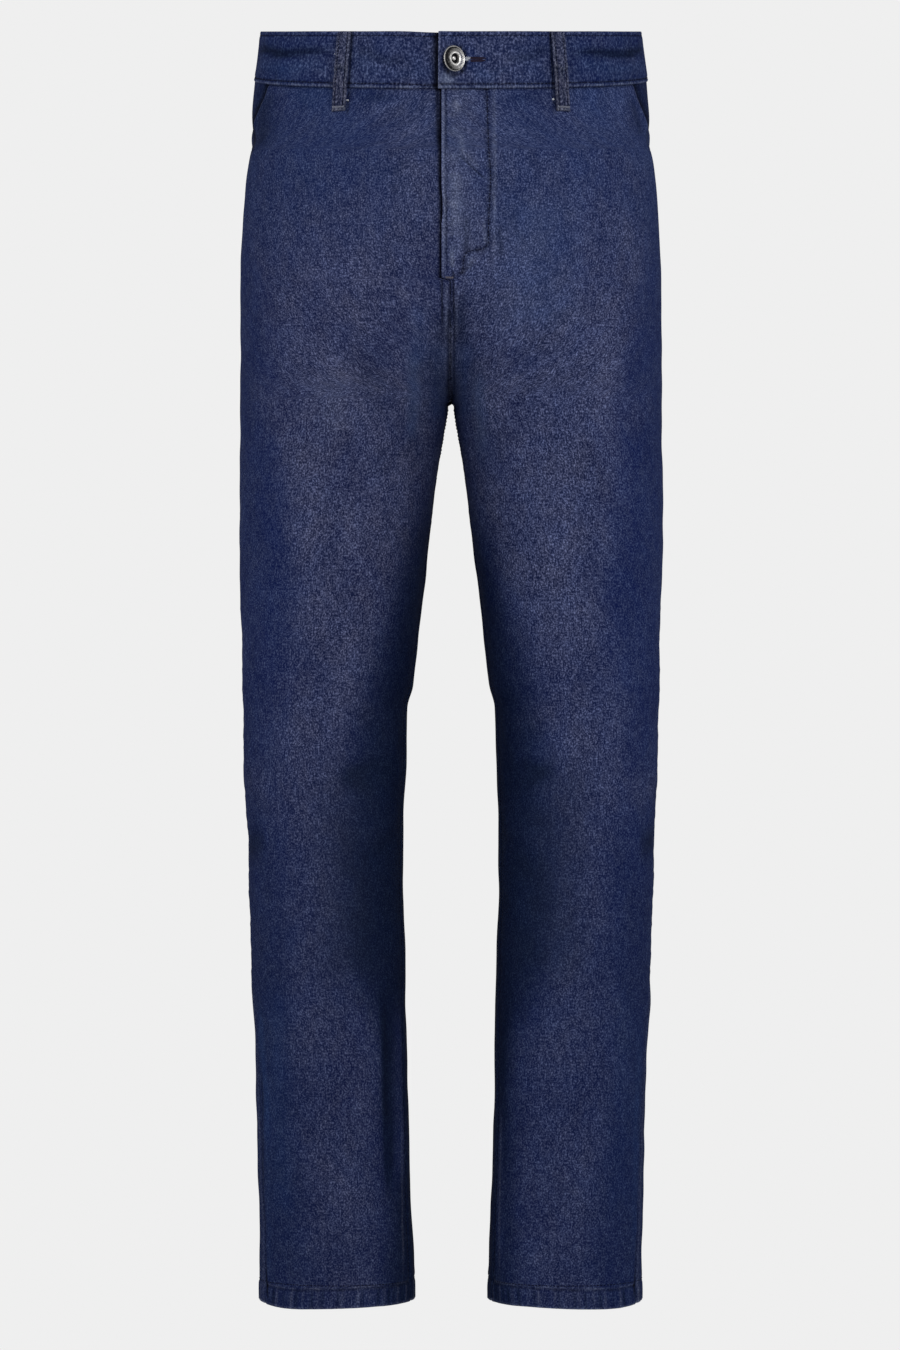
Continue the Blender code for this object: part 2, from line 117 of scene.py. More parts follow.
FORM_SCALES = np.array([0.001] * 6 + [np.pi / 180] * 3)


def limited(value):
    """The value, kept between 0 and 1."""
    return np.clip(value, 0, 1)


def through(table, column, height):
    """Smooth curve through one column of a table by its first, a cubic whose slope at each
    row is the harmonic mean of the slopes beside it, so that it never overshoots."""
    table = np.asarray(table)[::-1]
    knots, values = table[:, HEIGHT], table[:, column]
    rise = np.diff(values) / np.diff(knots)
    same_way = rise[1:] * rise[:-1] > 0
    both = np.where(same_way, rise[1:] + rise[:-1], 1.0)
    middle = np.where(same_way, 2 * rise[1:] * rise[:-1] / both, 0.0)
    slope = np.concatenate([rise[:1], middle, rise[-1:]])
    height = np.asarray(height, float)
    i = np.clip(np.searchsorted(knots, height) - 1, 0, len(knots) - 2)
    span = knots[i + 1] - knots[i]
    t = (height - knots[i]) / span
    return (
        (2 * t**3 - 3 * t**2 + 1) * values[i]
        + (t**3 - 2 * t**2 + t) * span * slope[i]
        + (3 * t**2 - 2 * t**3) * values[i + 1]
        + (t**3 - t**2) * span * slope[i + 1]
    )


def form(column, height):
    """One column of the form's table at the given heights, in metres and radians."""
    return through(np.array(FORM) * FORM_SCALES, column, height)


def rounded(value):
    """A sine or cosine raised to two over the section's exponent, with its sign kept."""
    return np.sign(value) * np.abs(value) ** (2 / ROUND)


def tube(height):
    """Middle, half width and cut of the tube: below the crotch the middle is halfway
    between its sides, and above it the tube is cut off at the middle of the body."""
    outer = form(OUTER, height)
    cut = rounded(np.sin(form(SPLIT, height)))
    above = outer * cut / (1 + cut)
    below = (outer + form(INNER, height)) / 2
    middle = np.where(height > CROTCH, above, below)
    return middle, outer - middle


def skin(turn, height):
    """Outer face of the left half: x is the middle plus the half width times the rounded
    sine of the turn, and y the widest depth less the depth times its rounded cosine."""
    middle, half = tube(height)
    side = form(SIDE, height)
    depth = np.where(np.cos(turn) > 0, side - form(FRONT, height), form(BACK, height) - side)
    x = middle + half * rounded(np.sin(turn))
    y = side - depth * rounded(np.cos(turn))
    return np.stack(np.broadcast_arrays(x, y, height), axis=-1)


def outward(turn, height):
    """Unit normals of the skin: the cross product of its steps round and up."""
    small = 1e-4
    across = skin(turn + small, height) - skin(turn - small, height)
    up = skin(turn, height + small) - skin(turn, height - small)
    normal = np.cross(across, up)
    return normal / np.linalg.norm(normal, axis=-1, keepdims=True)


def tilted(height, turn, tilt):
    """A row's height plus its depth times the tilt, so that it falls towards the front."""
    y = skin(turn, height)[..., 1]
    return height + y * np.where(y < 0, tilt[0], tilt[1])


def row_tilt(base):
    """Tilt of the front's rows, which dies out as they go down."""
    share = limited((base - TILT_ENDS) / (SEAM - TILT_ENDS))
    return SEAM_TILT[0] * share, SEAM_TILT[1] * share


def side_seam(base):
    """Height and angle of the outseam in the front's rows."""
    height = tilted(base, form(OUTSEAM, base), row_tilt(base))
    return height, form(OUTSEAM, height)


def front_start(height):
    """Angle of the centre front seam, or of the inseam below the crotch."""
    return form(INSEAM, height) - form(SPLIT, height)


def back_end(height):
    """Angle of the centre back seam, or of the same inseam reached from behind."""
    return np.where(
        height > CROTCH, np.pi + form(SPLIT, height), 1.5 * np.pi + form(INSEAM, height)
    )


def turn_at_x(x, height):
    """Angle round the front where the skin is x from the middle of the body."""
    middle, half = tube(height)
    share = np.clip((x - middle) / half, -1, 1)
    return np.arcsin(np.sign(share) * np.abs(share) ** (ROUND / 2))


def run_along(points, axis=0):
    """Length of a path from its first point to each of them, along the given axis."""
    steps = np.linalg.norm(np.diff(points, axis=axis), axis=-1)
    return np.concatenate([0 * steps.take([0], axis), steps.cumsum(axis)], axis)


def back_along(turn, height, length):
    """The angle that lies a length of cloth before the given one, at the same height."""
    steps = np.linspace(0, np.pi / 2, 91)
    runs = run_along(skin(turn[:, None] - steps, height[:, None]), axis=1)
    wanted = np.broadcast_to(length, turn.shape)
    return turn - np.array([np.interp(each, run, steps) for each, run in zip(wanted, runs)])


def mirrored(points, side):
    """Points or normals of the wearer's left half put on the given side, or back again."""
    return points * np.array([side, 1.0, 1.0])


def own_place(points, side):
    """x away from the middle of the body, y and z, for points on the given side."""
    return np.moveaxis(mirrored(points, side), -1, 0)


def half_skin(turns, heights, side):
    """Points and normals for either half. Cloth that crosses the middle is folded over."""
    start, end = front_start(heights), back_end(heights)
    before = (turns < start) & (heights > CROTCH)
    after = (turns > end) & (heights > CROTCH)
    crosses = before | after
    folded = np.where(before, 2 * start - turns, np.where(after, 2 * end - turns, turns))
    points, normals = skin(folded, heights), outward(folded, heights)
    flip = np.where(crosses, -1.0, 1.0)
    points[..., 0] *= flip
    normals[..., 0] *= flip
    beside = ~crosses & (np.abs(points[..., 0]) < SEAM_GAP)
    points[..., 0] = np.where(beside, SEAM_GAP, points[..., 0])
    return mirrored(points, side), mirrored(normals, side)


def near_line(points, line):
    """Distance from each point to a line of straight pieces, and how far along it is
    nearest, both in metres. Each piece's nearest point is its clamped projection."""
    steps = np.diff(line, axis=0)
    flat = points.reshape(-1, points.shape[-1])
    best = np.full(len(flat), np.inf)
    along = np.zeros(len(flat))
    for start, step, begin in zip(line, steps, run_along(line)):
        length = np.linalg.norm(step)
        share = limited((flat - start) @ step / length**2)
        away = ((flat - start - share[:, None] * step) ** 2).sum(axis=1)
        closer = away < best
        best = np.where(closer, away, best)
        along = np.where(closer, begin + share * length, along)
    return np.sqrt(best).reshape(points.shape[:-1]), along.reshape(points.shape[:-1])


def bell(distance, width):
    """1 at no distance, falling away as the exponential of minus its square."""
    return np.exp(-((distance / width) ** 2))


def fading_ends(share):
    """1 halfway along a line and nought at both ends: the root of 4 s (1 - s)."""
    return np.sqrt(limited(4 * share * (1 - share)))


def rolled_edge(distance, proud, wide, drop, fine):
    """Relief of a cut or turned edge: proud over a wide strip along it, less a drop over
    a fine strip at the very edge."""
    return proud * bell(distance, wide) - drop * bell(distance, fine)


def ripple(length, period, start=0.0):
    """Uneven waves along a seam: three sines whose periods have no common measure."""
    turn = 2 * np.pi * (length / period + start)
    return (np.sin(turn) + 0.7 * np.sin(1.618 * turn + 1.3) + 0.5 * np.sin(2.414 * turn + 4.1)) / 2.2


def waver(points, size, start=0.0):
    """Slow uneven swell over the cloth: products of sines of the place, from -1 to 1."""
    x, y, z = np.moveaxis(points, -1, 0) / size + start
    return (
        np.sin(5.1 * x + 1.7 * z) * np.sin(3.3 * z - 2.2 * y)
        + 0.6 * np.sin(8.7 * z + 3.9 * x + 1.1) * np.sin(6.1 * x - 5.3 * y + 0.4)
    ) / 1.6


seam_heights = np.linspace(SEAM - 0.005, HEM, 110)
leg_heights = np.linspace(CROTCH - 0.002, HEM, 90)
rise_heights = np.linspace(SEAM - 0.022, CROTCH, 50)
back_heights = np.linspace(SEAM, CROTCH, 50)
SEAM_LINES = (
    # points, depth of the groove, height of its puckers, their period
    (skin(form(OUTSEAM, seam_heights), seam_heights), 0.0009, 0.00040, 0.013),
    (skin(back_end(leg_heights), leg_heights), 0.0009, 0.00045, 0.012),
    (skin(front_start(rise_heights), rise_heights), 0.0006, 0.00025, 0.011),
    (skin(back_end(back_heights), back_heights), 0.0009, 0.00040, 0.013),
)

# Creases, ridges where height is positive. Angles are in degrees round the half that the
# side names, 0 at the front; heights along the body, widths and heights in millimetres.
FOLDS = (
    # side, angle and height at its start, and at its end, half width, height
    (LEFT, 3, -93, 10, -110, 3.2, 0.9),
    (LEFT, 4, -97, 12, -114, 2.6, -0.8),
    (LEFT, 9, -150, 12, -178, 3.0, 0.6),
    (LEFT, 13, -140, 14, -172, 3.2, -0.7),
    (LEFT, 18, -150, 17, -180, 3.6, 0.6),
    (RIGHT, 12, -50, 26, -47, 5.0, -0.9),
    (RIGHT, 10, -60, 24, -58, 6.0, 0.6),
    (LEFT, 14, -50, 25, -47, 5.0, -0.7),
    (RIGHT, -6, -250, 16, -205, 9.0, 0.7),
    (RIGHT, -20, -262, 12, -232, 7.0, -0.3),
    (LEFT, -10, -255, 20, -215, 9.0, 0.7),
    (LEFT, -22, -268, 14, -240, 7.0, -0.3),
    (RIGHT, -52, -292, 6, -262, 8.0, 1.2),
    (LEFT, -52, -290, 8, -266, 8.0, 1.2),
    (RIGHT, -60, -330, -22, -300, 8.0, -0.4),
    (LEFT, -60, -338, -20, -304, 8.0, -0.4),
    (RIGHT, 30, -300, 62, -270, 15.0, 0.9),
    (LEFT, 34, -310, 60, -280, 15.0, 0.9),
    (RIGHT, -66, -560, -20, -530, 8.0, 1.2),
    (RIGHT, -64, -585, -10, -590, 8.0, -1.3),
    (RIGHT, -70, -622, -26, -640, 7.0, 1.3),
    (RIGHT, -64, -640, -30, -660, 6.0, -1.1),
    (LEFT, -66, -552, -16, -536, 8.0, 1.2),
    (LEFT, -64, -592, -14, -584, 8.0, -1.2),
    (LEFT, -70, -630, -24, -646, 7.0, 1.3),
    (LEFT, -64, -655, -34, -668, 6.0, -1.0),
    (RIGHT, 40, -600, 84, -585, 14.0, 1.1),
    (RIGHT, 46, -640, 92, -650, 12.0, -1.3),
    (LEFT, 42, -606, 84, -592, 14.0, 1.1),
    (LEFT, 50, -646, 92, -640, 12.0, -1.3),
    # behind the knee
    (RIGHT, 128, -540, 176, -562, 8.0, -1.5),
    (RIGHT, 168, -560, 226, -544, 7.0, 1.1),
    (RIGHT, 138, -586, 190, -606, 8.0, -1.4),
    (RIGHT, 176, -598, 230, -620, 9.0, -1.2),
    (RIGHT, 134, -622, 186, -612, 7.0, 1.1),
    (LEFT, 126, -546, 182, -560, 8.0, -1.5),
    (LEFT, 172, -572, 232, -556, 7.0, 1.2),
    (LEFT, 132, -592, 184, -612, 8.0, -1.4),
    (LEFT, 178, -590, 228, -614, 9.0, -1.2),
    (LEFT, 140, -634, 196, -622, 7.0, 1.0),
    # under the seat
    (RIGHT, 150, -346, 236, -298, 9.0, -1.6),
    (RIGHT, 146, -366, 240, -322, 9.0, 1.2),
    (RIGHT, 166, -392, 244, -356, 8.0, -1.1),
    (LEFT, 148, -342, 238, -300, 9.0, -1.6),
    (LEFT, 150, -364, 238, -320, 9.0, 1.2),
    (LEFT, 160, -386, 246, -350, 8.0, -1.1),
    # outer calf and ankle
    (RIGHT, 70, -760, 150, -800, 14.0, 1.4),
    (RIGHT, 90, -860, 170, -900, 12.0, -1.4),
    (LEFT, 72, -770, 148, -804, 14.0, 1.4),
    (LEFT, 88, -870, 168, -906, 12.0, -1.4),
    (RIGHT, 130, -930, 230, -960, 9.0, 1.6),
    (LEFT, 134, -936, 226, -958, 9.0, 1.6),
)


def fold_heights(points, side):
    """Height of the folds: each rises as a bell across and fades towards both ends."""
    own = mirrored(points, side)
    total = np.zeros(points.shape[:-1])
    for fold_side, turn_a, height_a, turn_b, height_b, width, tall in FOLDS:
        if fold_side != side:
            continue
        turns = np.radians(np.linspace(turn_a, turn_b, 9))
        line = skin(turns, np.linspace(height_a, height_b, 9) / 1000)
        away, along = near_line(own, line)
        total += tall / 1000 * bell(away, width / 1000) * fading_ends(along / run_along(line)[-1])
    return total


GROOVE = 0.0016  # half width of the groove of a seam
PUCKERS = 0.0065  # and of the strip of puckers along it
HOLLOW_AT = (0.160, -0.0690)  # x and z of the hollow at the foot of the pocket mouth
HOLLOW_SIZE = (0.018, 0.0125, 0.0026)  # its half width, half height and depth


def relief(points, side):
    """How far the cloth stands off the plain form: a slow swell, the folds, a hollow at
    the foot of the pocket mouth, and seam grooves with puckers along them."""
    own = mirrored(points, side)
    total = 0.0006 * waver(points, 0.11) + 0.0004 * waver(points, 0.045, 2.0)
    wide, tall, deep = HOLLOW_SIZE
    inwards, above = limited(HOLLOW_AT[0] - own[..., 0]), own[..., 2] - HOLLOW_AT[1]
    total -= deep * bell(inwards, wide) * bell(above, tall)
    for line, groove, pucker, period in SEAM_LINES:
        away, along = near_line(own, line)
        total += pucker * ripple(along, period) * bell(away, PUCKERS) - groove * bell(away, GROOVE)
    return total + fold_heights(points, side)


# Where the dye has faded: between these two lines down the front of each leg.
FADE = (
    # height, distance of the inner and the outer line from the middle, in millimetres
    (40, -60, 165),
    (-36, -60, 162),
    (-127, -60, 160),
    (-207, -40, 150),
    (-287, 2, 138),
    (-367, 20, 132),
    (-399, 32, 128),
    (-447, 48, 122),
    (-487, 59, 126),
    (-527, 70, 134),
    (-567, 78, 141),
    (-607, 81, 145),
    (-639, 84, 132),
    (-687, 86, 129),
    (-727, 84, 129),
    (-767, 75, 130),
    (-791, 64, 132),
    (-831, 57, 130),
    (-927, 55, 119),
    (-999, 59, 112),
    (-1030, 60, 110),
)

FADE_LINES = np.array(FADE) / 1000
INNER_LINE, OUTER_LINE = 1, 2


def soft_step(distance, ease):
    """Step from 0 to 1: one over one plus the exponential of minus distance over ease."""
    return 1 / (1 + np.exp(np.clip(-distance / ease, -50, 50)))


def faded(points, side):
    """Share of fading: one between the two lines of the table and nought outside them,
    with soft uneven borders, less on the back, at the hips and below the knee, and less
    again on the right hips and thigh, as painted shade away from the key light."""
    x, y, z = own_place(points, side)
    border = (0.011 + 0.005 * limited((-0.42 - z) / 0.08)) / 2.2  # wider from the knee down
    x = x + 0.004 * waver(points, 0.05, 3.0)
    inner = soft_step(x - through(FADE_LINES, INNER_LINE, z), border)
    outer = soft_step(through(FADE_LINES, OUTER_LINE, z) - x, border)
    front = inner * outer * (0.84 + 0.16 * waver(points, 0.09, 5.0))
    behind = np.clip(0.75 - 9 * np.abs(x - tube(z)[0]), 0.1, 1) * (0.8 + 0.2 * waver(points, 0.08))
    in_front = limited(0.5 - (y - form(SIDE, z)) / 0.03)
    hips = limited((z + 0.190) / 0.10) * limited((x - 0.034) / 0.03)
    lost = 0.14 * limited((-0.47 - z) / 0.08)  # at the knee
    lost = lost + 0.22 * limited((-0.55 - z) / 0.10)  # below it
    lost = lost + 0.14 * limited((HEM + 0.020 - z) / 0.006)  # on the hem
    # painted shade: the right half, away from the key light, keeps more dye at the hips and thigh
    lost = lost + (0.66 if side == RIGHT else 0.36) * hips
    lost = lost + 0.19 * bell(z + 0.22, 0.07) * (side == RIGHT)  # across the right thigh
    return limited((front * in_front + behind * (1 - in_front)) * (1 - lost))


def unfaded(points, side):
    """Share of the dye's full depth, with painted shade: one on the inner side of each leg,
    from the thigh down, where nothing rubs and the legs shade each other, with a soft
    border that wanders, and more where it has not faded towards the hem."""
    x, y, z = own_place(points, side)
    middle, half = tube(z)
    edge = np.where(y < form(SIDE, z), through(FADE_LINES, INNER_LINE, z), middle - 0.35 * half)
    edge = edge - (0.001 if side == RIGHT else 0.004) + 0.003 * waver(points, 0.05, 3.0)
    inner = soft_step(edge - x, 0.0080) * limited((-0.315 - z) / 0.08)
    outer = 0.16 + 0.34 * limited((-0.50 - z) / 0.25)
    return limited(np.maximum(inner, outer * (1 - faded(points, side))))


def past(distance, ease):
    """Smooth step from 0 to 1 while the distance goes from minus ease to nought."""
    share = limited(distance / ease + 1)
    return share * share * (3 - 2 * share)


def spread(count, crowding):
    """Shares from 0 to 1 that crowd at both ends: t less crowding times a sine of it."""
    t = np.linspace(0, 1, count)
    return t - crowding * np.sin(2 * np.pi * t) / (2 * np.pi)


pieces = {}  # every mesh object, by the name that it was made with


def quads(a, b, c, d):
    """Four-sided faces from four arrays of corners."""
    return np.stack([a, b, c, d], axis=-1).reshape(-1, 4)


def new_piece(name, points, faces, material):
    """A smooth mesh object, sharp where its faces meet at more than 50 degrees."""
    mesh = bpy.data.meshes.new(name)
    mesh.vertices.add(len(points))
    mesh.vertices.foreach_set("co", np.ascontiguousarray(points, np.float32).ravel())
    corners = faces.shape[1]
    mesh.loops.add(faces.size)
    mesh.loops.foreach_set("vertex_index", np.ascontiguousarray(faces, np.int32).ravel())
    mesh.polygons.add(len(faces))
    mesh.polygons.foreach_set("loop_start", np.arange(0, faces.size, corners, dtype=np.int32))
    mesh.update(calc_edges=True)
    mesh.validate()
    mesh.materials.append(material)
    mesh.shade_smooth()
    mesh.set_sharp_from_angle(angle=np.radians(50))
    pieces[name] = bpy.data.objects.new(name, mesh)
    bpy.context.scene.collection.objects.link(pieces[name])
    return pieces[name]


def add_uv(obj, place):
    """Gives each corner of a mesh the place on the cloth of its point, in metres."""
    mesh = obj.data
    corner = np.empty(len(mesh.loops), np.int32)
    mesh.loops.foreach_get("vertex_index", corner)
    layer = mesh.uv_layers.new(name="cloth")
    layer.data.foreach_set("uv", place[corner].astype(np.float32).ravel())


def add_mark(obj, name, value):
    """Stores a value for each point, which the material reads by its name."""
    layer = obj.data.attributes.new(name, "FLOAT", "POINT")
    layer.data.foreach_set("value", np.ascontiguousarray(value, np.float32).ravel())


def cloth_wall(name, outer, normals, wall, side, material, **marks):
    """A closed wall of cloth under a grid of points, as thick as wall along the normals:
    four-sided faces on both sides and round the rim. Its UV map holds lengths of cloth,
    across from the middle column and down it, and it carries the given marks. The inner
    points are marked as the inside, but not the rim."""
    rows, columns = outer.shape[:2]
    inner = outer - normals * np.broadcast_to(wall, (rows, columns))[..., None]
    face = np.arange(rows * columns).reshape(rows, columns)
    back = face + rows * columns
    faces = np.concatenate([
        quads(face[:-1, :-1], face[1:, :-1], face[1:, 1:], face[:-1, 1:]),
        quads(back[:-1, :-1], back[:-1, 1:], back[1:, 1:], back[1:, :-1]),
        quads(face[0, :-1], face[0, 1:], back[0, 1:], back[0, :-1]),
        quads(face[-1, 1:], face[-1, :-1], back[-1, :-1], back[-1, 1:]),
        quads(face[1:, 0], face[:-1, 0], back[:-1, 0], back[1:, 0]),
        quads(face[:-1, -1], face[1:, -1], back[1:, -1], back[:-1, -1]),
    ])
    if side == RIGHT:
        faces = faces[:, ::-1]
    obj = new_piece(name, np.concatenate([outer.reshape(-1, 3), inner.reshape(-1, 3)]), faces, material)
    across = run_along(outer, axis=1)
    middle = columns // 2
    down = run_along(outer[:, middle])[:, None] + 0 * across
    place = np.stack([(across - across[:, middle : middle + 1]) * side, -down], axis=-1).reshape(-1, 2)
    add_uv(obj, np.concatenate([place, place]))
    for mark, value in marks.items():
        value = np.broadcast_to(value, (rows, columns))
        add_mark(obj, mark, np.concatenate([value, value]))
    within = np.zeros((rows, columns))
    within[1:-1, 1:-1] = 1.0
    add_mark(obj, "inside", np.concatenate([0 * within, within]))
    return obj


def wire(tree, start, end):
    """Links an output socket of a shader node to an input socket."""
    tree.links.new(start, end)


def add_node(tree, kind, **settings):
    """A shader node. Settings with a lower-case name are its properties, and the others
    set its input sockets, by name, with _ for a space."""
    node = tree.nodes.new(kind)
    for key, value in settings.items():
        if key[0].islower():
            setattr(node, key, value)
        else:
            node.inputs[key.replace("_", " ")].default_value = value
    return node


def arithmetic(tree, operation, first, second, clamp=False):
    """A Math node whose inputs are sockets or plain numbers."""
    node = add_node(tree, "ShaderNodeMath", operation=operation, use_clamp=clamp)
    for index, value in enumerate((first, second)):
        if isinstance(value, bpy.types.NodeSocket):
            wire(tree, value, node.inputs[index])
        else:
            node.inputs[index].default_value = value
    return node.outputs[0]


def blend_colours(tree, share, first, second, blend="MIX"):
    """A Mix node for colours whose inputs are sockets or plain colours."""
    node = add_node(tree, "ShaderNodeMix", data_type="RGBA", blend_type=blend)
    for index, value in ((0, share), (6, first), (7, second)):
        if isinstance(value, bpy.types.NodeSocket):
            wire(tree, value, node.inputs[index])
        else:
            node.inputs[index].default_value = value if index == 0 else (*value, 1.0)
    return node.outputs[2]


def speckle(tree, place, upright, scale, detail, low, high):
    """Noise, drawn out upwards where upright is under 1, from 0 below low to 1 above
    high. Its scale is in spots a metre."""
    mapping = add_node(tree, "ShaderNodeMapping", Scale=(1.0, upright, 1.0))
    wire(tree, place, mapping.inputs["Vector"])
    noise = add_node(tree, "ShaderNodeTexNoise", Scale=scale, Detail=detail, Roughness=0.65)
    wire(tree, mapping.outputs[0], noise.inputs["Vector"])
    spread_out = add_node(tree, "ShaderNodeMapRange", From_Min=low, From_Max=high)
    wire(tree, noise.outputs["Fac"], spread_out.inputs["Value"])
    return spread_out.outputs[0]


# Dark and pale ends of the weave's colour, by the state of its dye and by painted shade
# and light, and its single colours, among them the near black of painted shade.
PLAIN_DYE = (0.0015, 0.0060, 0.0540), (0.0720, 0.0970, 0.2000)
FADED_DYE = (0.0024, 0.0058, 0.0320), (0.1750, 0.1940, 0.3450)
DEEP_DYE = (0.0018, 0.0045, 0.0215), (0.0150, 0.0255, 0.0600)
CLEAR_DYE = (0.0080, 0.0220, 0.0850), (0.0420, 0.0850, 0.2100)
RUBBED_BARE = (0.230, 0.255, 0.360)
SUNK_LINE = (0.0012, 0.0016, 0.0050)
WRONG_SIDE = (0.120, 0.135, 0.200)
WARMER = (1.04, 1.01, 0.97)
COOLER = (0.95, 0.99, 1.04)
# of these marks the near black one is painted shade, Deep is kept dye and painted shade, and Clear is
# partly painted light
MARKS = ("Faded", "Deep", "Worn", "Sunk", "Clear", "Inside")

# Noise of the weave: how far it is drawn out upwards, spots a metre, detail and range.
GRAINS = (0.75, 800.0, 1.0, 0.42, 0.70)
THREADS = (0.22, 850.0, 1.0, 0.42, 0.66)
CLUMPS = (0.45, 230.0, 1.0, 0.38, 0.64)
CLOUDS = (0.45, 32.0, 4.0, 0.32, 0.68)
HUES = (0.60, 60.0, 2.0, 0.35, 0.65)


def make_denim_weave():
    """Node group for indigo twill: fine pale grains and upright threads, denser in clumps
    and clouds, between a dark and a pale colour that depend on how far the dye has faded
    there and on painted shade, with bare edges where the cloth has rubbed, nearly black as
    painted shade in grooves, gaps and under laps, a clearer blue that is partly painted
    light, and a pale inside. All of it shifts slowly between a warmer and a cooler blue."""
    tree = bpy.data.node_groups.new("denim_weave", "ShaderNodeTree")
    sockets = tree.interface
    sockets.new_socket("Cloth", in_out="INPUT", socket_type="NodeSocketVector")
    for mark in MARKS:
        sockets.new_socket(mark, in_out="INPUT", socket_type="NodeSocketFloat")
    sockets.new_socket("Tint", in_out="INPUT", socket_type="NodeSocketColor")
    for name, kind in (("Colour", "Color"), ("Height", "Float"), ("Roughness", "Float")):
        sockets.new_socket(name, in_out="OUTPUT", socket_type="NodeSocket" + kind)
    given = tree.nodes.new("NodeGroupInput").outputs
    result = tree.nodes.new("NodeGroupOutput").inputs
    place = given["Cloth"]

    def times(first, second):
        return arithmetic(tree, "MULTIPLY", first, second)

    def plus(first, second):
        return arithmetic(tree, "ADD", first, second)

    noises = (GRAINS, THREADS, CLUMPS, CLOUDS, HUES)
    grains, threads, clumps, clouds, hues = (speckle(tree, place, *noise) for noise in noises)
    # the three fine noises are mixed, sharpened by a power and made stronger in the clouds
    level = plus(plus(times(grains, 0.62), times(threads, 0.22)), times(clumps, 0.16))
    level = arithmetic(tree, "POWER", level, 1.6)
    level = times(level, plus(0.79, times(clouds, 0.42)))
    level = plus(level, times(clouds, 0.05))

    dark, pale = (blend_colours(tree, given["Faded"], *ends) for ends in zip(PLAIN_DYE, FADED_DYE))
    # Deep also carries painted shade, in creases, gaps and between the legs
    dark = blend_colours(tree, given["Deep"], dark, DEEP_DYE[0])
    pale = blend_colours(tree, given["Deep"], pale, DEEP_DYE[1])
    colour = blend_colours(tree, level, dark, pale)
    clear = blend_colours(tree, level, *CLEAR_DYE)
    # Clear is partly painted light: highlights on ridges, and lightening where the form is in shade
    smooth = times(given["Clear"], arithmetic(tree, "SUBTRACT", 1.0, given["Deep"]))
    colour = blend_colours(tree, smooth, colour, clear)
    rubbed = times(given["Worn"], plus(0.35, times(grains, 0.65)))
    colour = blend_colours(tree, rubbed, colour, RUBBED_BARE)
    # painted shade: near black in grooves, gaps and under laps
    colour = blend_colours(tree, given["Sunk"], colour, SUNK_LINE)
    colour = blend_colours(tree, given["Inside"], colour, WRONG_SIDE)
    shift = blend_colours(tree, hues, WARMER, COOLER)
    colour = blend_colours(tree, 1.0, colour, shift, "MULTIPLY")
    colour = blend_colours(tree, 1.0, colour, given["Tint"], "MULTIPLY")
    wire(tree, colour, result["Colour"])

    wire(tree, plus(times(grains, 0.6), times(threads, 0.4)), result["Height"])
    wire(tree, plus(0.80, times(grains, 0.15)), result["Roughness"])
    return tree


denim_weave = make_denim_weave()


def new_material(name):
    """A material with its node tree and its Principled BSDF."""
    material = bpy.data.materials.new(name)
    material.use_nodes = True
    return material, material.node_tree, material.node_tree.nodes["Principled BSDF"]


def make_denim(name, tint=(1.0, 1.0, 1.0), fading=1.0, fineness=1.0):
    """A cloth material: the weave's colour and roughness, with its height as a bump."""
    material, tree, shader = new_material(name)
    weave = add_node(tree, "ShaderNodeGroup", node_tree=denim_weave)
    weave.inputs["Tint"].default_value = (*tint, 1.0)
    cloth_place = add_node(tree, "ShaderNodeVectorMath", operation="SCALE")
    cloth_place.inputs["Scale"].default_value = fineness
    wire(tree, add_node(tree, "ShaderNodeUVMap", uv_map="cloth").outputs[0], cloth_place.inputs[0])
    wire(tree, cloth_place.outputs[0], weave.inputs["Cloth"])
    for mark in MARKS:
        value = add_node(tree, "ShaderNodeAttribute", attribute_name=mark.lower()).outputs["Fac"]
        if mark == "Faded":
            value = arithmetic(tree, "MULTIPLY", value, fading)
        wire(tree, value, weave.inputs[mark])
    bump = add_node(tree, "ShaderNodeBump", Strength=0.5, Distance=0.0003)
    wire(tree, weave.outputs["Height"], bump.inputs["Height"])
    wire(tree, weave.outputs["Colour"], shader.inputs["Base Color"])
    wire(tree, weave.outputs["Roughness"], shader.inputs["Roughness"])
    wire(tree, bump.outputs[0], shader.inputs["Normal"])
    shader.inputs["Specular IOR Level"].default_value = 0.04
    return material


denim = make_denim("denim")

ROWS_EASE = -0.2000  # below the fly the rows lie farther apart
ROWS_LEG = -0.3000
ROWS_HEM = HEM + 0.0300


def leg_rows():
    """Heights of the rows of a front, closer together at the fly and the hem."""
    return np.concatenate([
        np.linspace(SEAM, ROWS_EASE, 96, endpoint=False),
        np.linspace(ROWS_EASE, ROWS_LEG, 40, endpoint=False),
        np.linspace(ROWS_LEG, ROWS_HEM, 166, endpoint=False),
        np.linspace(ROWS_HEM, HEM, 28),
    ])


ANKLE = 0.057  # radius that turns an angle round the hem into a length
ROPES = 0.0120  # period of the slanting ropes of the hem


def hem_relief(points, side):
    """The turned-up hem: a groove along its stitches and slanting ropes below them. The
    second array is the ropes alone, above nought on their tops and below it between."""
    x, y, z = own_place(points, side)
    round_leg = np.arctan2(x - tube(z)[0], form(SIDE, z) - y) * ANKLE
    up = z - HEM
    in_hem = soft_step(HEM_TALL - up, 0.0012)
    ropes = ripple(round_leg + 0.10 * up, ROPES, 0.2 * side)
    total = -0.00055 * bell(up - HEM_TALL, 0.0014)
    total += in_hem * (0.0005 + 0.00045 * ropes * bell(up - HEM_TALL * 0.5, 0.009))
    total += 0.0004 * bell(up - HEM_TALL - 0.004, 0.004) * ripple(round_leg, 0.013, 0.4)
    return total, in_hem * (1.6 * ropes - 0.5)


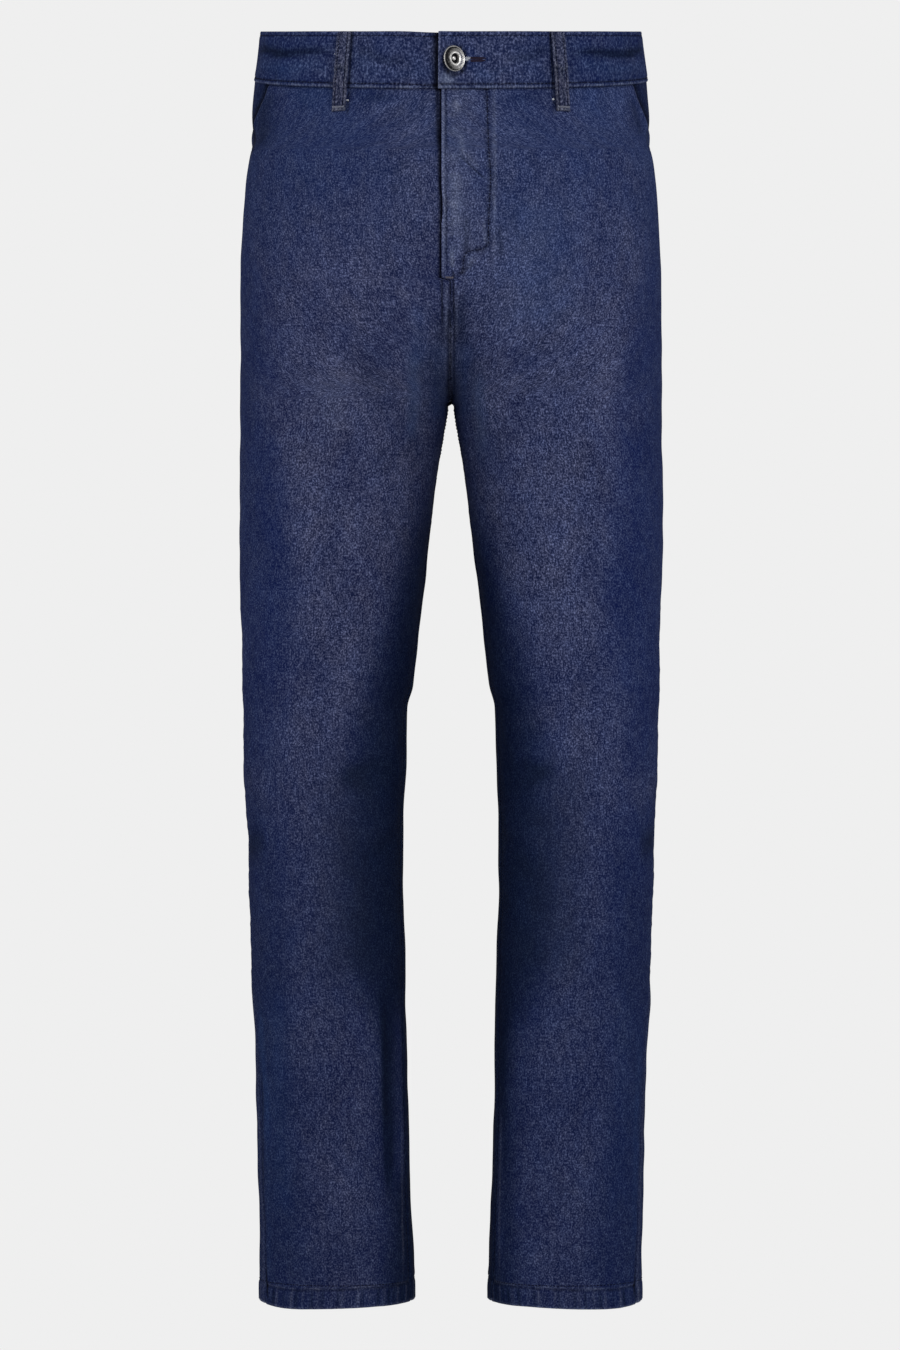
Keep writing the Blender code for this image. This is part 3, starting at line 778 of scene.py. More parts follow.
def hem_dip(points, side):
    """How far the front of the hem hangs lower: most at the front of the outer half."""
    x, y, z = own_place(points, side)
    near = limited(1.15 - (z - HEM) / 0.13) ** 2
    in_front = limited((0.012 - y) / 0.045)
    drop = 0.0042 * near * in_front * np.clip(0.75 + 8 * (x - tube(z)[0]), 0.5, 1)
    return drop[..., None] * np.array([0.0, 0.0, 1.0])


def fork_round(points, side):
    """How far the two legs stand apart just under the crotch, which rounds the fork."""
    x, _, z = own_place(points, side)
    apart = 0.0018 * bell(z - CROTCH, 0.012) * bell(x, 0.012) * past(CROTCH - z, 0.0012)
    return apart[..., None] * np.array([side, 0.0, 0.0])


def hem_thick(points):
    """Thickness of a leg's cloth, which doubles in the hem."""
    return CLOTH + (HEM_CLOTH - CLOTH) * soft_step(HEM_TALL - (points[..., 2] - HEM), 0.0008)


LAY = 0.0003  # air between one layer of cloth and the next
UNDER = 0.0050  # a seam's lower piece runs this far on under the upper one
UNDER_DEPTH = CLOTH + LAY
UNDER_EASE = 0.0009  # and steps down to there over this length
FULL_FOLD = 0.0012  # a fold of this height is rubbed as pale as any


def marks_of(points, side, worn):
    """The marks that the cloth's material reads: folds are rubbed pale on their ridges and
    are darker in their troughs, from kept dye and painted shade."""
    behind = limited(0.5 + (points[..., 1] - form(SIDE, points[..., 2])) / 0.06)
    folds = fold_heights(points, side) / FULL_FOLD * (1 - 0.60 * behind)
    return {
        "faded": limited(faded(points, side) + 0.45 * np.clip(folds, -1, 1)),
        # the troughs of folds are darkened as painted shade, with the inner legs' dye and shade
        "deep": limited(unfaded(points, side) + 0.50 * limited(-folds)),
        "worn": limited(worn),
    }


FLY_STEP = -0.1945  # the lapped edge comes back to the centre seam here

# Painted shade along the rows of stitches beside the centre seam, seen from the front: x
# and z at the top and at the foot, in millimetres, and how dark and deep they are.
SUNK_LINES = (
    (-4.2, -30, -3.6, -190, 0.65),
    (-7.4, -193, -6.6, -232, 1.0),
    (-0.6, -193, -0.6, -230, 0.25),
    (1.8, -188, 1.7, -222, 0.9),
    (2.3, -214, 2.5, -280, 0.5),
    (-1.8, -218, -1.8, -280, 0.5),
)

# Other lines and soft bands seen from the front: the side or nought for both, the mark, how
# strong it is, its half width, then x outwards from the middle and z, in millimetres.
TRACES = (
    # the outseam below the knee with painted shade in its groove, and the clear strip in front of it
    (RIGHT, "clear", 0.80, 3.0, ((157, -767), (155.4, -799), (153.3, -827), (150.4, -851), (149.6, -895))),
    (RIGHT, "clear", 0.35, 2.2, ((149.6, -870), (149, -920), (147.8, -1012))),
    (LEFT, "clear", 0.45, 2.8, ((155.5, -780), (152.5, -830), (150.4, -880), (148.4, -1000))),
    (RIGHT, "clear", 0.40, 10.0, ((143, -750), (140, -860), (136, -960))),
    (LEFT, "clear", 0.20, 10.0, ((143, -750), (140, -860), (136, -960))),
    (RIGHT, "sunk", 0.40, 0.8, ((155.4, -820), (153.6, -850), (153.2, -900), (153.0, -968))),
    (RIGHT, "sunk", 1.00, 0.9, ((153.2, -964), (151.4, -990), (148.4, -1016))),
    (LEFT, "sunk", 0.90, 0.9, ((152.4, -968), (151.2, -992), (148.4, -1014))),
    # the inseam of the calf, with painted shade along it and in its groove
    (RIGHT, "deep", 0.90, 3.4, ((54, -755), (53, -800), (52, -860), (50.5, -930))),
    (RIGHT, "sunk", 0.40, 2.2, ((53.5, -765), (53, -800), (52, -880))),
    (RIGHT, "deep", -0.55, 4.0, ((42, -770), (41, -840), (41, -930))),
    (LEFT, "deep", 0.20, 3.6, ((45, -740), (43, -830), (42, -930))),
    (LEFT, "deep", -0.30, 4.0, ((40, -850), (40, -1000))),
    (0, "worn", 0.15, 0.7, ((40.5, -860), (39.6, -930), (39.0, -1000))),
    # below the waistband and in the pocket mouths, with painted shadow at the mouths and the loops
    (RIGHT, "clear", 0.20, 14.0, ((104, -28), (120, -52))),
    (LEFT, "clear", 0.12, 12.0, ((104, -32), (118, -62))),
    (RIGHT, "sunk", 0.85, 1.3, ((161.4, -56), (162.6, -68), (163.4, -84))),
    (LEFT, "sunk", 0.50, 1.2, ((161.4, -56), (162.6, -68), (163.4, -80))),
    (RIGHT, "deep", 0.60, 10.0, ((150, -32), (153, -55), (157, -84))),
    (LEFT, "deep", 0.50, 3.0, ((145, -40), (151, -57), (158, -72))),
    (0, "sunk", 0.75, 0.9, ((81.3, -40), (82.6, -63))),
    # the fly: painted shade in its creases, under its lap and below its foot, the paler strip
    # beside its edge, and the foot of its stitches
    (LEFT, "deep", 0.90, 1.0, ((5.5, -94), (14, -102), (24, -112), (29, -115))),
    (LEFT, "worn", 0.20, 1.3, ((6, -91), (15, -98), (24, -107))),
    (LEFT, "worn", 0.26, 5.0, ((3.5, -108), (3.5, -156))),
    (LEFT, "worn", 0.50, 1.8, ((0.5, -171), (1, -185))),
    (LEFT, "worn", 0.32, 2.6, ((17, -176), (13, -187))),
    (LEFT, "worn", 0.28, 2.4, ((3, -50), (6, -62))),
    (LEFT, "worn", 0.28, 2.0, ((8, -78), (9, -94))),
    (LEFT, "worn", 0.50, 0.7, ((26.4, -148), (27, -166))),
    (LEFT, "worn", 0.22, 0.8, ((34.4, -62), (34.6, -150))),
    (LEFT, "deep", 0.55, 2.8, ((12.5, -143), (12, -174))),
    (LEFT, "deep", 0.50, 2.6, ((38, -150), (40, -178))),
    (LEFT, "deep", 0.50, 6.0, ((9, -200), (9, -248))),
    (RIGHT, "deep", 0.30, 6.0, ((9, -222), (7, -250))),
    (RIGHT, "sunk", 0.85, 1.6, ((11.3, -36), (10.9, -62), (10.3, -90))),
    (RIGHT, "sunk", 0.50, 0.9, ((10.2, -80), (9.8, -110), (9.4, -130))),
    (LEFT, "worn", 0.42, 0.9, ((-6.2, -36), (-6.0, -80), (-5.4, -120), (-5.2, -186))),
    (LEFT, "sunk", 0.55, 1.1, ((21.4, -177), (14.2, -184.5), (6.5, -189.5), (1.5, -192))),
    (RIGHT, "worn", 0.30, 1.6, ((3.8, -195), (3.4, -240))),
    (0, "deep", 0.32, 9.0, ((0, -212), (0, -252))),
    (LEFT, "worn", 0.16, 1.3, ((4.4, -196), (4.2, -240))),
    # the crotch, lightened as painted light against the shade between the legs, and the clear
    # lines either side of it
    (0, "worn", 0.35, 0.5, ((0.5, -222), (0.5, -284))),
    (RIGHT, "clear", 0.25, 8.0, ((24, -210), (27, -262))),
    (0, "clear", 0.40, 11.0, ((9, -236), (7, -275), (9, -305))),
    (0, "deep", -0.60, 8.0, ((2, -236), (2, -296))),
    (0, "worn", 0.09, 6.0, ((3, -236), (3, -290))),
    (RIGHT, "deep", -0.45, 8.0, ((26, -246), (30, -322))),
    (LEFT, "deep", -0.50, 8.0, ((22, -262), (25, -335))),
    (RIGHT, "clear", 0.55, 5.0, ((29, -246), (31, -322))),
    (RIGHT, "worn", 0.12, 6.0, ((27, -246), (30, -322))),
    (LEFT, "clear", 0.40, 5.0, ((22, -262), (25, -335))),
    (LEFT, "worn", 0.12, 6.0, ((20, -262), (24, -335))),
    # broad paler and darker places on the thighs
    (RIGHT, "worn", 0.10, 17.0, ((95, -262), (92, -318))),
    (RIGHT, "deep", 0.24, 12.0, ((66, -246), (56, -306))),
    (RIGHT, "deep", 0.28, 9.0, ((56, -322), (56, -350))),
    (LEFT, "clear", 0.30, 34.0, ((62, -120), (72, -240))),
    (LEFT, "worn", 0.045, 34.0, ((62, -120), (72, -240))),
    # the greyer border of the fading, down the inside of the shin
    (0, "deep", 0.34, 20.0, ((92, -560), (92, -640), (88, -770))),
    (0, "worn", 0.038, 20.0, ((92, -560), (92, -640), (88, -770))),
)

FLY_CURVE = (
    # x and z of the J-shaped row of stitches on the left front, in millimetres
    (28.3, -20.0), (28.5, -43.5), (29.6, -85.5), (31.6, -112.5), (30.1, -138.7), (29.6, -164.8),
    (28.6, -167.4), (24.3, -170.4), (18.0, -170.9), (13.5, -171.4), (10.3, -175.9), (9.1, -188.0),
)


def sunk_lines(points, side):
    """Share of the painted shade lines along stitches at each point, fading over their last ten
    millimetres, with the broken line of painted shade along the fly's stitches on the left front."""
    seen = points[..., [0, 2]]
    total = np.zeros(points.shape[:-1])
    if side == LEFT:
        away, along = near_line(seen, np.array(FLY_CURVE) / 1000)
        total += (0.56 + 0.24 * ripple(along, 0.009)) * bell(away, 0.0024)
    for x_top, z_top, x_foot, z_foot, dark in SUNK_LINES:
        away, along = near_line(seen, np.array([[x_top, z_top], [x_foot, z_foot]]) / 1000)
        total += dark * bell(away, 0.0010) * np.clip((z_top - z_foot) / 10 - along * 100, 0.25, 1)
    return limited(total) * (points[..., 1] < 0)


def traces(points, side, mark):
    """Share of the traces of one mark at each point in front: a bell across each of them,
    fading over its two ends."""
    x, y, z = own_place(points, side)
    seen = np.stack([x, z], axis=-1)
    total = np.zeros(points.shape[:-1])
    for trace_side, kind, strong, half, line in TRACES:
        if kind != mark or trace_side not in (0, side):
            continue
        line = np.array(line) / 1000
        away, along = near_line(seen, line)
        share = along / run_along(line)[-1]
        total += strong * bell(away, half / 1000) * np.clip(6 * np.minimum(share, 1 - share), 0.15, 1)
    return np.clip(total, -1, 1) * (y < form(SIDE, z))


def mouth_width(base):
    """Width of the scooped pocket mouth at each row, nought below its foot: a quarter of a
    rounded shape whose exponent is the curve of the mouth."""
    down = limited((SEAM - base) / MOUTH_DEEP)
    return MOUTH_WIDE * (1 - down**MOUTH_CURVE) ** (1 / MOUTH_CURVE)


FLY_ROLL = (0.0010, 0.010, 0.0005, 0.0010)
MOUTH_ROLL = (0.0007, 0.006, 0.0006, 0.0012)
GAPE = (0.0008, -0.064, 0.016)  # the mouth stands open near its foot: how far, z, half length
FLY_STRIP = (-0.105, 0.060)  # the paler strip beside the fly's edge: z, half length
STRIP_ROW = 0.0342  # x of the row of stitches that is rubbed beyond it

# the left front is tinted lighter and bluer as painted light from the key light at its side
front_denims = {LEFT: make_denim("denim_front_left", (1.00, 1.03, 1.06)), RIGHT: denim}
for side, name in ((LEFT, "front_left"), (RIGHT, "front_right")):
    # the columns run from the fly's edge, the centre seam under it or the inseam to the
    # pocket mouth or the outseam under it
    base = leg_rows()
    centre = front_start(base)
    at_edge = turn_at_x(FLY_EDGE - UNDER * (side == RIGHT), base)
    tucked = limited((base - CROTCH) / 0.008) * UNDER * (side == RIGHT)
    below = np.where(base > CROTCH, 2 * centre - turn_at_x(tucked, base), centre)
    fly = at_edge if side == RIGHT else 2 * centre - at_edge
    laps = limited((base - FLY_STEP) / 0.0015)
    start = below + (fly - below) * laps
    mouth = mouth_width(base)
    seam_height, outseam = side_seam(base)
    end = back_along(outseam, seam_height, mouth)
    turns = start[:, None] + (end - start)[:, None] * spread(142, crowding=0.45)
    heights = tilted(base[:, None], turns, row_tilt(base[:, None]))
    points, normals = half_skin(turns, heights, side)
    x, _, z = np.moveaxis(points, -1, 0)
    from_start = run_along(points, axis=1)
    from_end = from_start[:, -1:] - from_start
    from_band = (SEAM - base)[:, None]
    in_fly = laps[:, None]
    at_mouth = (mouth > 0)[:, None]

    # the edges of the fly and the mouth stand proud, and what they lap over is pressed down
    hem_lift, hem_ropes = hem_relief(points, side)
    # the share of painted shade along stitches and seams, where the cloth also dips
    sunk = limited(sunk_lines(points, side) + traces(points, side, "sunk"))
    lift = relief(points, side) + hem_lift - 0.0007 * sunk - 0.0013 * bell(from_band, 0.0022)
    if side == LEFT:
        lift += in_fly * rolled_edge(from_start, *FLY_ROLL)
        shade = 0 * from_start
    else:
        beyond = x + FLY_EDGE
        shade = in_fly * bell(np.minimum(beyond + 0.0006, 0), 0.0016)
        lift -= in_fly * (0.0019 * bell(np.minimum(beyond, 0), 0.007) + 0.0007 * shade)
        lift -= (1 - in_fly) * UNDER_DEPTH * past(x, UNDER_EASE) * (heights > CROTCH)
    gape, gape_at, gape_half = GAPE
    lift += at_mouth * rolled_edge(from_end, *MOUTH_ROLL)
    lift += gape * at_mouth * bell(z - gape_at, gape_half) * bell(from_end, 0.012)

    above_hem = z - HEM - HEM_TALL
    uneven = 0.75 + 0.35 * ripple(x, 0.016)
    pale_run = np.clip(0.55 + 0.9 * waver(points, 0.030, 2.0), 0.05, 1)
    strip_at, strip_half = FLY_STRIP
    on_strip = bell(np.clip(np.abs(z - strip_at) - strip_half, 0, None), 0.012) * (side == LEFT)
    strip_patches = limited(0.2 + ripple(z, 0.019, 0.3))
    worn = (
        traces(points, side, "worn")
        + 0.30 * bell(from_start - 0.0012, 0.0008) * in_fly * (side == LEFT)  # the fly's edge
        + 0.10 * bell(from_end - 0.0012, 0.0010) * at_mouth  # the mouth's edge
        + 0.36 * bell(above_hem - 0.0013, 0.0008) * pale_run * uneven  # over the hem's stitches
        + 0.20 * limited(hem_ropes)
        + 0.25 * bell(z - HEM, 0.0012)  # the fold at the foot
        + 0.10 * bell(x - 0.008, 0.013) * on_strip
        + 0.26 * bell(x - 0.0015, 0.0055) * on_strip * strip_patches
        + 0.22 * bell(x - STRIP_ROW, 0.0012) * on_strip
    )
    marks = marks_of(points, side, worn * (1 - sunk))
    # painted shade between the hem's ropes
    between_ropes = 0.40 * limited(-hem_ropes - 0.7)
    marks["deep"] = limited(marks["deep"] + between_ropes + traces(points, side, "deep"))
    upper = 0.28 * limited((z + 0.20) / 0.12) * (0.8 + 0.4 * waver(points, 0.06, 4.0))
    marks["clear"] = limited(traces(points, side, "clear") + upper)
    # painted shade: under the fly's lap, under the waist seam, along the mouth's edge, under the hem's
    # stitches, and along the stitch lines and traces
    marks["sunk"] = limited(
        0.92 * shade  # under the lap of the fly
        + 0.85 * sunk
        + (0.85 + 0.25 * ripple(x, 0.019)) * bell(from_band, 0.0019)  # the waist seam
        + 0.6 * at_mouth * bell(from_end, 0.0007)
        + (0.85 - 0.30 * pale_run) * uneven * bell(above_hem + 0.0004, 0.0008)  # under the hem's
    )

    outer = points + normals * lift[..., None] - hem_dip(points, side) + fork_round(points, side)
    front = cloth_wall(name, outer, normals, hem_thick(points), side, front_denims[side], **marks)
    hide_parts(name)
    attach(front, "root")

# ---------------------------------------------------------------------------
# Hip facings. One piece of the same denim shows inside each scooped pocket mouth. It is
# tucked under the front, and caught in the waist seam and the outseam.

FACING_UNDER = 0.0140
FACING_WIDE = MOUTH_WIDE + FACING_UNDER
FACING_LAY = 0.0009  # air between it and the front that covers its edges

# the facings are tinted darker as painted shade, inside the pocket mouth and behind the fly
facing_denim = make_denim("denim_facing", (0.60, 0.68, 0.74), 0.5)
for side, name in ((LEFT, "pocket_facing_left"), (RIGHT, "pocket_facing_right")):
    base = SEAM - np.linspace(0, MOUTH_DEEP + FACING_UNDER, 60)
    seam_height, outseam = side_seam(base)
    start = back_along(outseam, seam_height, FACING_WIDE)
    across = np.linspace(0, 1, 64)
    turns = start[:, None] + (outseam - start)[:, None] * across
    heights = tilted(base[:, None], turns, row_tilt(base[:, None]))
    points, normals = half_skin(turns, heights, side)
    mouth = mouth_width(base)[:, None]
    shown = mouth - FACING_WIDE * (1 - across)
    rise = limited(shown / 0.016) * limited((mouth + 1e-6) / 0.030)
    lift = relief(points, side) - (CLOTH + FACING_LAY) * (1 - rise) - 0.0002
    low = limited((-0.040 - points[..., 2]) / 0.020)
    # painted shadow inside the pocket mouth, darkest at the front's edge and widest low down
    shade = bell(np.clip(shown - 0.0006, 0, None), 0.0085 + 0.0135 * low) * (0.9 if side == RIGHT else 0.7)
    creases = 0.35 * limited(ripple(points[..., 2] - 0.5 * shown, 0.021))
    facing = cloth_wall(
        name, points + normals * lift[..., None], normals, CLOTH, side, facing_denim,
        faded=0.15 + 0.3 * creases, deep=limited(0.30 + 0.70 * shade), worn=0.0, sunk=0.95 * shade,
    )
    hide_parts(name)
    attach(facing, "root")

# ---------------------------------------------------------------------------
# Backs. Two panels from the yoke to the hem, fuller at the seat, with the left one lapped
# over the right at the centre. Their edges run on under the fronts, where they are felled.

YOKE_SIDE = 0.0350
YOKE_DROP = 0.0270
YOKE_EVENS_OUT = -0.2130
BACK_TOP = SEAM - YOKE_SIDE - YOKE_DROP / 2


def back_place(base, share):
    """Turns and heights of a back where its rows are base and its columns are a share of
    the way from the outseam to the centre. Its rows follow the yoke seam and then even
    out, and the seams' angles are found three times over, as they depend on the heights."""
    evens_out = np.clip((base - YOKE_EVENS_OUT) / (BACK_TOP - YOKE_EVENS_OUT), 0, None)
    heights = base + 0 * share
    for _ in range(3):
        start, end = form(OUTSEAM, heights), back_end(heights)
        turns = start + (end - start) * share
        yoke_seam = tilted(SEAM, turns, SEAM_TILT) - YOKE_SIDE - YOKE_DROP * limited(share)
        heights = base + (yoke_seam - BACK_TOP) * evens_out
    return turns, heights


def back_rows():
    """Rows of a back, which run on for a little above its top, under the yoke."""
    return np.concatenate([
        BACK_TOP + np.array([0.0050, 0.0025, 0.0009, 0.0004]),
        np.linspace(BACK_TOP, ROWS_LEG, 118, endpoint=False),
        np.linspace(ROWS_LEG, ROWS_HEM, 232, endpoint=False),
        np.linspace(ROWS_HEM, HEM, 30),
    ])


for side, name in ((LEFT, "back_left"), (RIGHT, "back_right")):
    # the columns run from under the front to under the other back, but the left one stops
    # at the centre seam, where it laps over the right
    base = back_rows()[:, None]
    reach = run_along(skin(*back_place(base, np.linspace(0, 1, 25))), axis=1)[:, -1:]
    more = UNDER / reach
    centre_more = np.where((base > CROTCH) & (side == LEFT), -SEAM_GAP / reach, more)
    share = spread(66, crowding=0.80) + 0 * more
    share = np.concatenate([-more, -0.4 * more, share, 1 + 0.4 * centre_more, 1 + centre_more], axis=1)
    turns, heights = back_place(base, share)
    points, normals = half_skin(turns, heights, side)

    hem_lift, hem_ropes = hem_relief(points, side)
    tucks = (heights < CROTCH) | (side == RIGHT)
    lift = relief(points, side) + hem_lift
    lift -= UNDER_DEPTH * past(-share * reach, UNDER_EASE)
    lift -= UNDER_DEPTH * past((share - 1) * reach, UNDER_EASE) * tucks
    lift -= UNDER_DEPTH * past(base - BACK_TOP, UNDER_EASE)
    worn = 0.12 * bell(share * reach - 0.003, 0.002) * limited((-0.62 - heights) / 0.12)
    worn = worn + 0.35 * limited(hem_ropes) + 0.6 * bell(heights - HEM, 0.0012)

    outer = points + normals * lift[..., None] - hem_dip(points, side) + fork_round(points, side)
    marks = marks_of(points, side, worn)
    back = cloth_wall(name, outer, normals, hem_thick(points), side, denim, **marks)
    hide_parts(name)
    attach(back, "root")

# ---------------------------------------------------------------------------
# Yokes. A slanting piece on each side between the waist seam and the back, deeper at the
# centre, felled over the back's upper edge.

YOKE_LONG = 0.160  # along the waist seam
YOKE_ROLL = (0.0003, 0.006, 0.0005, 0.0012)

for side, name in ((LEFT, "yoke_left"), (RIGHT, "yoke_right")):
    share = np.concatenate([[-0.020], spread(72, crowding=0.7)])[None, :]
    if side == RIGHT:
        share = np.concatenate([share, [[1.012, 1.026]]], axis=1)
    seam_turns = form(OUTSEAM, SEAM) + (np.pi - form(OUTSEAM, SEAM)) * share
    back_turns, back_heights = back_place(np.array([[BACK_TOP]]), share)
    down = spread(38, crowding=0.6)[:, None]
    top = tilted(SEAM, seam_turns, SEAM_TILT)
    heights = top + (back_heights - top) * down
    turns = seam_turns + (back_turns - seam_turns) * down
    points, normals = half_skin(turns, heights, side)
    from_foot = (1 - down) * np.abs(top - back_heights)
    lift = relief(points, side) + rolled_edge(from_foot, *YOKE_ROLL)
    lift -= UNDER_DEPTH * past(-share * YOKE_LONG, UNDER_EASE)
    lift -= UNDER_DEPTH * past((share - 1) * YOKE_LONG, UNDER_EASE) * (side == RIGHT)
    marks = marks_of(points, side, 0.45 * bell(from_foot, 0.0012))
    yoke = cloth_wall(name, points + normals * lift[..., None], normals, CLOTH, side, denim, **marks)
    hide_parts(name)
    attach(yoke, "root")

# ---------------------------------------------------------------------------
# Back pockets. A five-sided patch with its edges turned under, sewn on round its sides
# and foot, and open along a doubled hem at its top.

POCKET_SHARES = (2 / 13, 11 / 13)
POCKET_TOP = -0.0860
POCKET_FOOT = -0.2130
POCKET_NEXT = -0.0200
POCKET_POINT = 0.95
POCKET_CORNER = 0.10
POCKET_HEM = 0.0125
POCKET_LAY = 0.0004  # air under it


def pocket_place(u, v):
    """Turns and heights of a patch pocket, u across it and v down it from 0 to 1, and the
    heights of its rows and its foot before they follow the yoke: the foot falls along two
    straight lines to the point in its middle."""
    point = POCKET_CORNER + (POCKET_POINT - POCKET_CORNER) * (1 - np.abs(2 * u - 1))
    foot = POCKET_FOOT + POCKET_NEXT * point
    base = POCKET_TOP + (foot - POCKET_TOP) * v
    return *back_place(base, POCKET_SHARES[0] + (POCKET_SHARES[1] - POCKET_SHARES[0]) * u), base, foot


patch_denim = make_denim("denim_patch", (1.04, 1.03, 1.0), 0.9)
for side, name in ((LEFT, "back_pocket_left"), (RIGHT, "back_pocket_right")):
    across, down = spread(80, crowding=0.75)[None, :], spread(88, crowding=0.75)[:, None]
    turns, heights, base, foot = pocket_place(across, down)
    points, normals = half_skin(turns, heights, side)
    from_left = run_along(points, axis=1)
    from_side = np.minimum(from_left, from_left[:, -1:] - from_left)
    from_edge = np.minimum(from_side, base - foot)
    from_top = POCKET_TOP - base

    # the patch is raised on its turned edges, with two rows of stitches drawn in round it
    lift = relief(points, side) + CLOTH + POCKET_LAY
    lift += 0.0009 * (1 - bell(from_edge, 0.020)) - 0.0005 * bell(from_edge, 0.0012)
    lift += 0.0003 * bell(from_edge - 0.005, 0.004) - 0.00035 * bell(from_edge - 0.0022, 0.0007)
    lift -= 0.00035 * bell(from_edge - 0.0085, 0.0009)
    lift += 0.0010 * bell(from_top, 0.006) * (1 - bell(from_side, 0.022))
    lift -= 0.0004 * bell(from_top - POCKET_HEM, 0.0011) + 0.0004 * bell(from_top, 0.0010)
    outer = points + normals * (lift + CLOTH)[..., None]
    marks = marks_of(points, side, 0.55 * bell(from_edge, 0.0012) + 0.6 * bell(from_top, 0.0013))
    pocket = cloth_wall(name, outer, normals, CLOTH, side, patch_denim, **marks)
    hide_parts(name)
    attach(pocket, "root")

# ---------------------------------------------------------------------------
# Fly. Behind the lapped edge lie a J-shaped facing, the closed zip and a plain shield, one
# under the other. Each follows the lower of the two fronts' faces.

FLY_FACING = 0.0310
FLY_BEND = 0.0300
FLY_POINT = 0.35
FACING_BACK = 0.0010
ZIP_TAPE = 0.0130
SHIELD = 0.0200
FLY_LAYER = 0.0005
TAPE_WALL = 0.0012
TEETH = 0.0022  # half width of the row of teeth

FLY_LAYERS = (
    # name, reach to the wearer's right and left, cloth, width at the foot, its flat cut
    ("fly_facing", FLY_EDGE - FACING_BACK - UNDER, FLY_FACING, CLOTH, FLY_POINT, (0.033, 0.165)),
    ("zip", FLY_EDGE + ZIP_TAPE, ZIP_TAPE - FLY_EDGE, TAPE_WALL, 1, (0.026, 0.165)),
    ("fly_shield", SHIELD + FLY_EDGE, SHIELD - FLY_EDGE, CLOTH, 1, (0.040, 0.165)),
)


def make_zip_tape():
    """Material of the zip: dark tape, and metal teeth where they are marked, as ripples."""
    material, tree, shader = new_material("zip_tape")
    coil = add_node(tree, "ShaderNodeTexWave", wave_type="BANDS", bands_direction="Y", Scale=210.0)
    wire(tree, add_node(tree, "ShaderNodeUVMap", uv_map="cloth").outputs[0], coil.inputs["Vector"])
    teeth = add_node(tree, "ShaderNodeAttribute", attribute_name="teeth").outputs["Fac"]
    colour = blend_colours(tree, teeth, (0.008, 0.009, 0.015), (0.30, 0.29, 0.27))
    wire(tree, colour, shader.inputs["Base Color"])
    wire(tree, teeth, shader.inputs["Metallic"])
    bump = add_node(tree, "ShaderNodeBump", Strength=0.8, Distance=0.0006)
    wire(tree, coil.outputs["Fac"], bump.inputs["Height"])
    wire(tree, bump.outputs[0], shader.inputs["Normal"])
    shader.inputs["Roughness"].default_value = 0.5
    return material


zip_tape = make_zip_tape()
base = np.linspace(SEAM, FLY_FOOT, 70)[:, None]
bend = np.sqrt(limited((base - FLY_FOOT) / FLY_BEND))
depth = CLOTH + FLY_LAYER
for name, right, left, cloth, foot, flat in FLY_LAYERS:
    x = np.linspace(-right, left, 25) + 0 * bend
    x = np.where(x > 0, x * (foot + (1 - foot) * bend), x)
    beyond = turn_at_x(np.abs(x), base)
    turns = np.where(x < 0, 2 * front_start(base) - beyond, beyond)
    points, normals = half_skin(turns, tilted(base, turns, row_tilt(base)), LEFT)
    lowest = np.minimum(relief(points, LEFT), relief(points, RIGHT))
    outer = points + normals * (lowest - depth)[..., None]
    if name == "zip":
        layer = cloth_wall(name, outer, normals, cloth, LEFT, zip_tape, teeth=bell(x + FLY_EDGE, TEETH))
    else:
        layer = cloth_wall(name, outer, normals, cloth, LEFT, facing_denim, faded=0.2, deep=0.3, worn=0.0)
    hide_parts(name)
    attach(layer, "root")
    depth += cloth + FLY_LAYER

# ---------------------------------------------------------------------------
# Waistband. One doubled strip round the waist, folded at its top edge and topstitched
# along both. Its upper end, on the wearer's left, laps over the lower end at the fly.

BAND_WALL = 0.0030
BAND_PROUD = 0.0008
BAND_END = 0.0100
BAND_UNDER = 0.0280
BAND_STEPS_DOWN = 0.0320
BAND_SUNK = np.radians(0.4)
BAND_TOP_ROW = 0.0028  # its rows of stitches lie this far from the two edges
BAND_FOOT_ROW = 0.0024
STITCH = 0.0030  # length of a stitch and its gap
BUTTON_AT = -0.0193  # z of the button

# Soft creases along the band: degrees round it, heights from its foot and sizes in mm.
BAND_FOLDS = (
    # from, to, height there, height there, half width, height of the fold
    (35, 82, 26, 24, 3.6, -1.2),
    (36, 80, 14, 12, 4.8, 0.9),
    (278, 325, 25, 27, 3.6, -1.2),
    (280, 324, 12, 14, 4.8, 0.9),
    (5, 16, 8, 14, 4.0, 0.5),
    (14, 28, 20, 30, 4.5, -0.6),
    (334, 350, 28, 18, 4.5, -0.6),
    (338, 352, 12, 10, 4.0, 0.4),
    (112, 136, 26, 20, 4.0, -0.9),
    (146, 174, 22, 26, 4.0, -0.7),
    (186, 214, 26, 22, 4.0, -0.8),
    (224, 248, 20, 26, 4.0, -0.9),
)

END_ROLL = (0.0005, 0.008, 0.0006, 0.0010)
BAND_SINKS = BAND_WALL + LAY + FLY_LAYER + 0.0004
UPPER_END = -turn_at_x(BAND_END, 0)
LOWER_END = 2 * np.pi + turn_at_x(BAND_UNDER, 0)
GOES_UNDER = 2 * np.pi - turn_at_x(BAND_END, 0) - BAND_SUNK
STARTS_DOWN = 2 * np.pi - turn_at_x(BAND_END + BAND_STEPS_DOWN, 0)


def band_place(turns, share):
    """Points, normals and height of the band: share is 0 at its foot and 1 at its top."""
    top = tilted(BAND_TOP, turns, TOP_TILT)
    bottom = tilted(SEAM, turns, SEAM_TILT)
    heights = bottom + (top - bottom) * share
    return skin(turns, heights), outward(turns, heights), top - bottom


